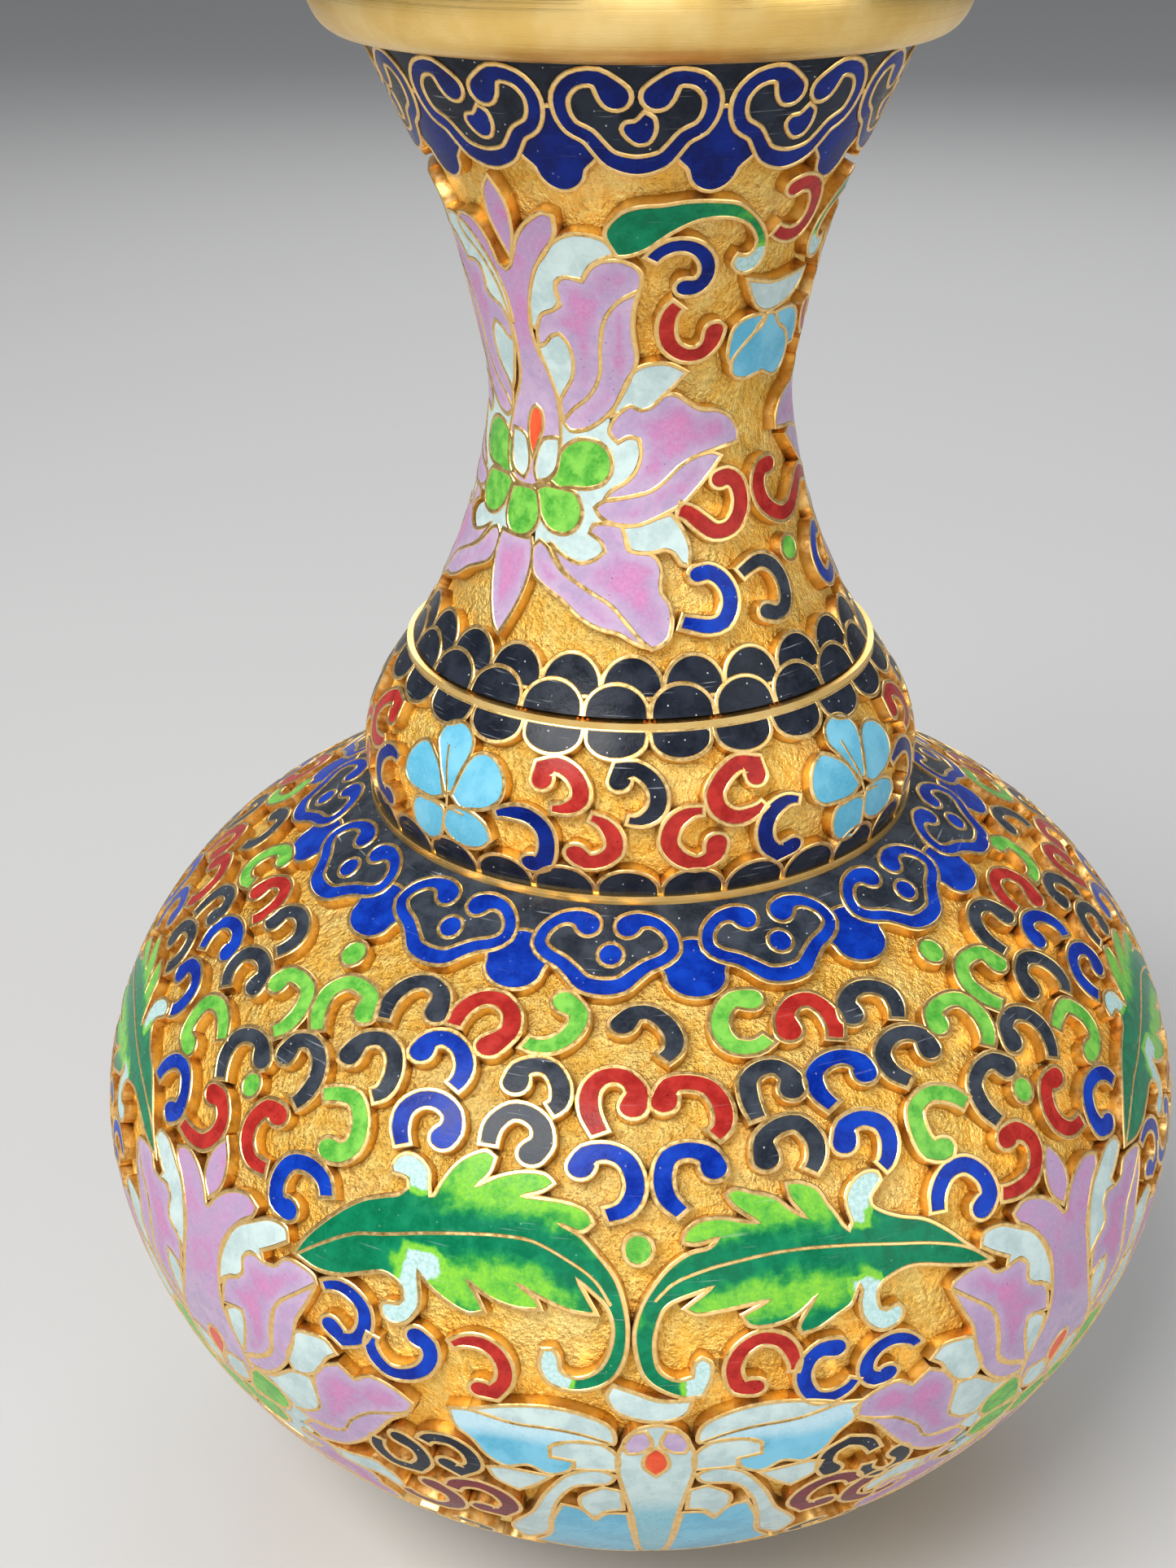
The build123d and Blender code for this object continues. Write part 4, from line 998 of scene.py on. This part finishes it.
SHOULDER_RIBBON = [
    (3.4, 97.9), (5.5, 98.5), (8.2, 98.3), (10.6, 97), (10.9, 95.5), (9.3, 94.6), (6.6, 93.9), (4.6, 93),
    (2.8, 92.1)]
SHOULDER_LOBE = [
    (-4.8, 93.4), (-4.3, 92.2), (-2.8, 91.2), (-0.2, 90.7), (2.6, 91), (4.4, 92), (5, 93.4), (7, 94.2),
    (5.5, 95.3), (0, 96.6), (-5.5, 95.3), (-7, 94.2)]
clouds("shoulder", BODY, 13, -5.6, SHOULDER_RIBBON, (0, 91.8), SHOULDER_LOBE, oval(0.9, 95, 2.1, 1.15),
       (94.6, 100.6), [COBALT, GREY_BLACK])


# Collar. Each quarter has one floret and the scrolls up to the next.

FLORET = [
    [(-41.2, 7.8), (-43.5, 9.5), (-45.5, 11), (-47.2, 12.2), (-46.5, 13.6), (-43.5, 14.3), (-40, 14.1),
     (-37.5, 13), (-37.3, 11.8), (-38.5, 10), (-39.7, 8)],
    [(-39.5, 7.8), (-38.5, 9.5), (-37.5, 11), (-36, 12), (-33.5, 12.4), (-30, 11.8), (-27.8, 10.3),
     (-28, 8.8), (-30.5, 7.7), (-34, 7.2), (-37, 7)],
    [(-39.8, 6.6), (-37, 7), (-33.5, 6.8), (-30.5, 6), (-29.5, 4.8), (-31.5, 3.8), (-35.5, 3.3), (-39, 3.7),
     (-41, 4.7), (-40.7, 5.9)],
    [(-41.5, 6.4), (-46, 6.6), (-49, 6.3), (-50.2, 5.2), (-49.5, 3.6), (-47, 2.8), (-44.5, 2.7), (-42, 3.4),
     (-41.2, 4.8), (-40.9, 5.9)],
    [(-41.5, 7.5), (-44, 9.8), (-46.5, 10.8), (-50, 11.6), (-53, 10.7), (-54.5, 9.2), (-54, 7.8), (-52, 7.1),
     (-48.5, 6.9), (-44.5, 6.9)],
]
FLORET_LINES = [
    [(-47, 6.4), (-43, 6.8), (-40, 6.6), (-36, 6.4)],
    [(-43.5, 12), (-42.2, 10), (-41, 8.4), (-40.5, 6.8)],
]
COLLAR_RED = [
    [(-20, 11.2), (-19.9, 12.3), (-17.2, 12.7), (-13.8, 12.1), (-11.9, 10.9), (-12, 9.7), (-14.5, 9),
     (-18.5, 8.8)],
    [(-12, 5), (-10, 4.3), (-7.5, 4.5), (-5, 5.5), (-5, 6.8), (-7, 8), (-10.5, 8.6)],
    [(14.4, 5.9), (13.7, 4.7), (10.5, 4.1), (7, 4.9), (5.3, 6.3), (6.5, 8), (9.8, 8.9), (13.4, 8.9)],
    [(23.8, 11.3), (23.6, 12.4), (20.5, 12.7), (17, 11.8), (14.6, 10.2), (15.5, 8.8), (18.5, 8), (22.5, 8.3),
     (25.6, 9.1)],
]
COLLAR_BLACK = [
    [(-4.2, 11.7), (-3.6, 12.7), (-1, 12.8), (2, 12), (3.5, 10.6), (2.8, 9.1), (0, 8.3), (-3.8, 8.5)],
]
COLLAR_BLUE = [
    [(-20.9, 3.4), (-18.8, 3.7), (-17.7, 5.2), (-18.6, 6.9), (-22, 7.9), (-26.5, 7.8), (-29.9, 7.2)],
    [(30, 4.2), (27.2, 3.8), (24.8, 4.8), (24.2, 6.4), (26, 7.9), (29.5, 8.6), (33.3, 8.2)],
]
for node, lines, colour in [("collar_red_scrolls", COLLAR_RED, RED),
                            ("collar_black_scrolls", COLLAR_BLACK, BLACK),
                            ("collar_blue_scrolls", COLLAR_BLUE, NAVY)]:
    scrolls(COLLAR, node, colour, lines, QUARTER, half=0.9, head=1.1, taper=0.45)

floret = Piece(COLLAR)
repeat(floret.cell, FLORET, QUARTER)
repeat(floret.line, FLORET_LINES, QUARTER, half=0.14)
floret.make("collar_florets", enamels=[SKY])

scale_row(COLLAR, "collar_hanging_scales", 25, -5.3, foot=16.2, crest=13.55, wide=0.94)
scale_row(COLLAR, "collar_foot_scales", 29, -2.3, foot=0.5, crest=3.55, wide=0.96)


# Neck. Each half has one lotus and, facing it, a leaf pair with a bud between.

NECK_MIRROR = 48.5
NECK_SCALES = 23
FIRST_SCALE = 13.6
scale_row(NECK, "neck_scales_upper", NECK_SCALES, FIRST_SCALE, foot=2.4, crest=6.15, wide=0.98,
          low=0.16, top=-0.10)
scale_row(NECK, "neck_scales_lower", NECK_SCALES, FIRST_SCALE + 180 / NECK_SCALES + 4.2, foot=0.45,
          crest=3.65, wide=0.96)


def neck_stem_tone(bearing, s, gap):
    """Mauve above, paling into the bulb."""
    return rise(s, 27, 14, 0.5)


petals, inner, calyx = Piece(NECK), Piece(NECK), Piece(NECK)
repeat(petals.cell, [NECK_STEM], HALVES, low=0.07, tone=neck_stem_tone)
repeat(petals.cell, [NECK_BUD], HALVES, tone=neck_stem_tone)
upper_petals = both(NECK_PINK[:4], NECK_LOTUS)
lower_petals = both(NECK_PINK[4:], NECK_LOTUS_LOW)
repeat(petals.cell, [NECK_LOW_PETAL] + upper_petals + lower_petals, HALVES, tone=petal_tone)
repeat(petals.cell, [DROP], HALVES, kind=2, low=0.04)
petals.make("neck_lotus_petals", enamels=[PINK, ORANGE])
repeat(inner.cell, both(NECK_WHITE[:3] + [NECK_WHITE[4], PAD], NECK_LOTUS), HALVES)
repeat(inner.cell, both([NECK_WHITE[3]], NECK_LOTUS), HALVES, low=0.09, wired=False)
inner.make("neck_lotus_inner_petals", enamels=[PALE])
lower_lobes = both(NECK_GREEN[1:], NECK_LOTUS_LOW) + [NECK_LOW_LOBE]
repeat(calyx.cell, both(NECK_GREEN[:1], NECK_LOTUS) + lower_lobes, HALVES)
calyx.make("neck_lotus_calyx", enamels=[GREEN])

NECK_LEAF = [
    (-9.5, 43), (-5, 44.8), (0, 45.4), (5, 45.5), (12, 45.8), (20, 45.7), (26, 45.3), (31, 44.2), (35, 43),
    (37.8, 41.5), (38, 40.2), (36, 39.3), (32, 38.9), (28.5, 39.3), (27.2, 40), (28.5, 40.7), (31.5, 40.5),
    (33.5, 40.8), (34.2, 41.5), (33, 42.3), (30, 43.3), (25, 44), (20, 44.2), (15, 44), (10, 43.3), (6, 42.5),
    (2, 41.6), (-3, 41), (-6.5, 40.9), (-8.3, 41.8)]


def neck_leaf_tone(bearing, s, gap):
    """Dark at the root, greener along the blade, white in the hook."""
    across = np.abs((bearing - NECK_MIRROR + 90) % 180 - 90)
    blade = rise(-across, -45, 30) * 0.36
    hook = rise(-s, -41.6, 0.8) * (across < 24) * 1.7
    return np.maximum(blade, hook)


leaves = Piece(NECK)
repeat(leaves.cell, both([NECK_LEAF], NECK_MIRROR), HALVES, tone=neck_leaf_tone)
leaves.make("neck_leaves", enamels=[LEAF])

BUD_CRESCENT = [
    (33.5, 38.3), (38, 38), (44, 37.7), (50, 37.8), (56, 38), (61, 38.2), (60, 37), (56, 36), (50, 35.3),
    (44, 35.1), (39.5, 35.6), (36, 36.9)]
BUD_SIDES = [
    [(30.3, 32.5), (31.5, 34), (35, 34.7), (41, 34.9), (44.8, 34.7), (44, 34), (39, 33), (34.5, 31.8),
     (32, 30.7), (30.5, 31.5)],
    [(49, 34.7), (53, 34.9), (59, 34.8), (63.5, 34), (65.8, 32.5), (65.5, 31.3), (61.5, 31.3), (60, 32),
     (57, 32.8), (52, 33.6)],
]
BUD_HEART = [
    (45, 34.8), (39.5, 33.1), (34.5, 31.8), (32.5, 30.8), (34, 29.6), (39, 29.2), (45, 29.4), (47.5, 29.5),
    (50, 29.2), (55, 28.8), (59.5, 29.3), (61.3, 30.6), (60.5, 31.6), (57, 32.8), (52, 33.6), (48.8, 34.7)]
buds = Piece(NECK)
repeat(buds.cell, [BUD_CRESCENT], HALVES, kind=2)
repeat(buds.cell, [BUD_HEART] + BUD_SIDES, HALVES)
repeat(buds.cell, [oval(54.7, 13.2, 4.2, 1.2)], HALVES, kind=3)
buds.make("neck_blue_buds", enamels=[SKY, PALE, GREEN])

NECK_BLUE_TOP = [
    (13.3, 38.1), (16, 38.1), (18.5, 38.5), (19.8, 39.3), (19.3, 40.3), (17, 41.2), (13, 41.8), (9, 41.8),
    (5, 41.2), (2, 40.2)]
NECK_RED_C = [
    (24.3, 34), (23.2, 32.9), (19.5, 32.1), (14.5, 32.1), (10, 32.9), (8.2, 34.3), (9.5, 36), (13, 36.9)]
NECK_RED_TOP = [
    (42.5, 46.2), (45.5, 46.5), (49.5, 46.2), (52.7, 45), (53.3, 43.4), (50.5, 42.1), (46, 41.8),
    (41.5, 42.2), (38.6, 42.8)]
NECK_RED_LOW = [
    [(28.6, 20.8), (31.5, 20.9), (34.8, 20.4), (36.4, 19), (34.8, 17.5), (30.5, 16.5), (25, 16.4), (20, 17.4),
     (16, 18.3), (11, 18.7)],
    [(52, 21), (48, 20.9), (45.2, 19.8), (46, 18.2), (50, 17), (56, 16.3), (62, 16.6), (68, 17.7), (74, 18.6),
     (80, 18.3), (87, 17.6)],
]
NECK_BLUE_LOW = [
    (17.8, 12.9), (21, 13), (24.5, 12.4), (27, 11.1), (26.5, 9.6), (23.5, 8.5), (19.5, 8.3), (14.5, 8.7),
    (10, 9.1)]
NECK_BLACK_LOW = [
    (38.6, 8.6), (41.5, 8.2), (45, 8.4), (47.4, 9.6), (47.2, 11.2), (44, 12.6), (39.5, 13.1), (34.5, 12.7),
    (30.4, 12.1)]
red, blue = Piece(NECK), Piece(NECK)
repeat(red.scroll, both([NECK_RED_C], NECK_MIRROR) + [NECK_RED_TOP], HALVES, half=0.82, head=1.0)
repeat(red.scroll, NECK_RED_LOW, HALVES, half=0.92, head=1.0)
red.make("neck_red_scrolls", enamels=[RED])
repeat(blue.scroll, both([NECK_BLUE_TOP], NECK_MIRROR), HALVES, kind=2, half=0.76, head=0.95)
repeat(blue.scroll, both([NECK_BLUE_LOW], NECK_MIRROR), HALVES, half=0.9, head=0.95)
blue.make("neck_blue_scrolls", enamels=[COBALT, NAVY])
scrolls(NECK, "neck_black_scrolls", GREY_BLACK, [NECK_BLACK_LOW], HALVES, half=0.85, head=0.95)

NECK_RIBBON = [
    (4.1, 55.2), (7.6, 56.7), (12, 56.5), (14.9, 55.2), (15.1, 53.7), (13.6, 52.5), (10.2, 51.7), (8.2, 50.7),
    (5.8, 49.7)]
NECK_LOBE = [
    (-6.2, 48.6), (-9.5, 50), (-8, 52.3), (-3, 53.6), (0, 54.2), (3, 53.6), (8, 52.3), (9.5, 50), (6.2, 48.6),
    (5.5, 47.8), (3.5, 47), (0, 46.6), (-3.5, 47), (-5.5, 47.8)]
NECK_DOT = [
    (-2.2, 53.0), (-0.4, 53.1), (1.6, 53.9), (3.6, 53.4), (4, 52.2), (2.6, 51.2), (0.4, 51), (-2, 51.6),
    (-3.1, 52.4)]
clouds("neck", NECK, 10, -0.8, NECK_RIBBON, (0, 49.1), NECK_LOBE, NECK_DOT, (53.4, 58.8), [NAVY, BLACK])


# Floor, light and camera, in metres and watts.

CAMERA_DISTANCE = 0.1803
CAMERA_HEIGHT = 0.1670
CAMERA_PITCH = math.radians(26.56)
CAMERA_LENS = 46.35   # mm
SENSOR_WIDTH = 36     # mm
CAMERA_SHIFT = -0.0334

FLOOR_HALF = 4.0
FLOOR_GREY = 0.56
WORLD_STRENGTH = 0.27

corners = [(-1, -1), (1, -1), (1, 1), (-1, 1)]
plane = bpy.data.meshes.new("floor")
plane.from_pydata([(x * FLOOR_HALF, y * FLOOR_HALF, 0) for x, y in corners], [], [(0, 1, 2, 3)])
floor = bpy.data.objects.new("floor", plane)
floor_paint, floor_tree = new_material("pale_floor")
surfaced(floor_tree, Base_Color=(FLOOR_GREY, FLOOR_GREY, FLOOR_GREY), Roughness=0.7)
plane.materials.append(floor_paint)
bpy.context.scene.collection.objects.link(floor)

MIDDLE = Vector((0, 0, 0.08))


def lamp(name, place, size, watts, colour=(1, 1, 1)):
    """A soft lamp that shines on the middle of the vase."""
    light = bpy.data.lights.new(name, "AREA")
    light.shape = "RECTANGLE"
    light.size, light.size_y = size
    light.energy = watts
    light.color = colour
    lamp_object = bpy.data.objects.new(name, light)
    lamp_object.location = place
    lamp_object.rotation_euler = (MIDDLE - Vector(place)).to_track_quat("-Z", "Y").to_euler()
    bpy.context.scene.collection.objects.link(lamp_object)


lamp("key", (-0.35, -0.45, 0.75), (0.5, 0.4), 9.6, (1, 0.985, 0.96))
lamp("fill", (0.65, -0.45, 0.35), (0.5, 0.6), 2.0, (0.97, 0.985, 1))
lamp("front", (0.05, -0.95, 0.20), (0.7, 0.5), 1.5)
lamp("back", (0.1, 0.75, 0.6), (0.7, 0.4), 2.5)

world = bpy.data.worlds.new("studio")
world.use_nodes = True
background = world.node_tree.nodes["Background"]
background.inputs["Color"].default_value = (0.86, 0.88, 0.92, 1)
background.inputs["Strength"].default_value = WORLD_STRENGTH
bpy.context.scene.world = world
bpy.context.scene.view_settings.view_transform = "Standard"

lens = bpy.data.cameras.new("camera")
lens.lens = CAMERA_LENS
lens.sensor_width = SENSOR_WIDTH
lens.sensor_fit = "AUTO"
lens.shift_x = CAMERA_SHIFT
lens.clip_start = 0.01
camera = bpy.data.objects.new("camera", lens)
camera.location = (0, -CAMERA_DISTANCE, CAMERA_HEIGHT)
camera.rotation_euler = (math.pi / 2 - CAMERA_PITCH, 0, 0)
bpy.context.scene.collection.objects.link(camera)
bpy.context.scene.camera = camera
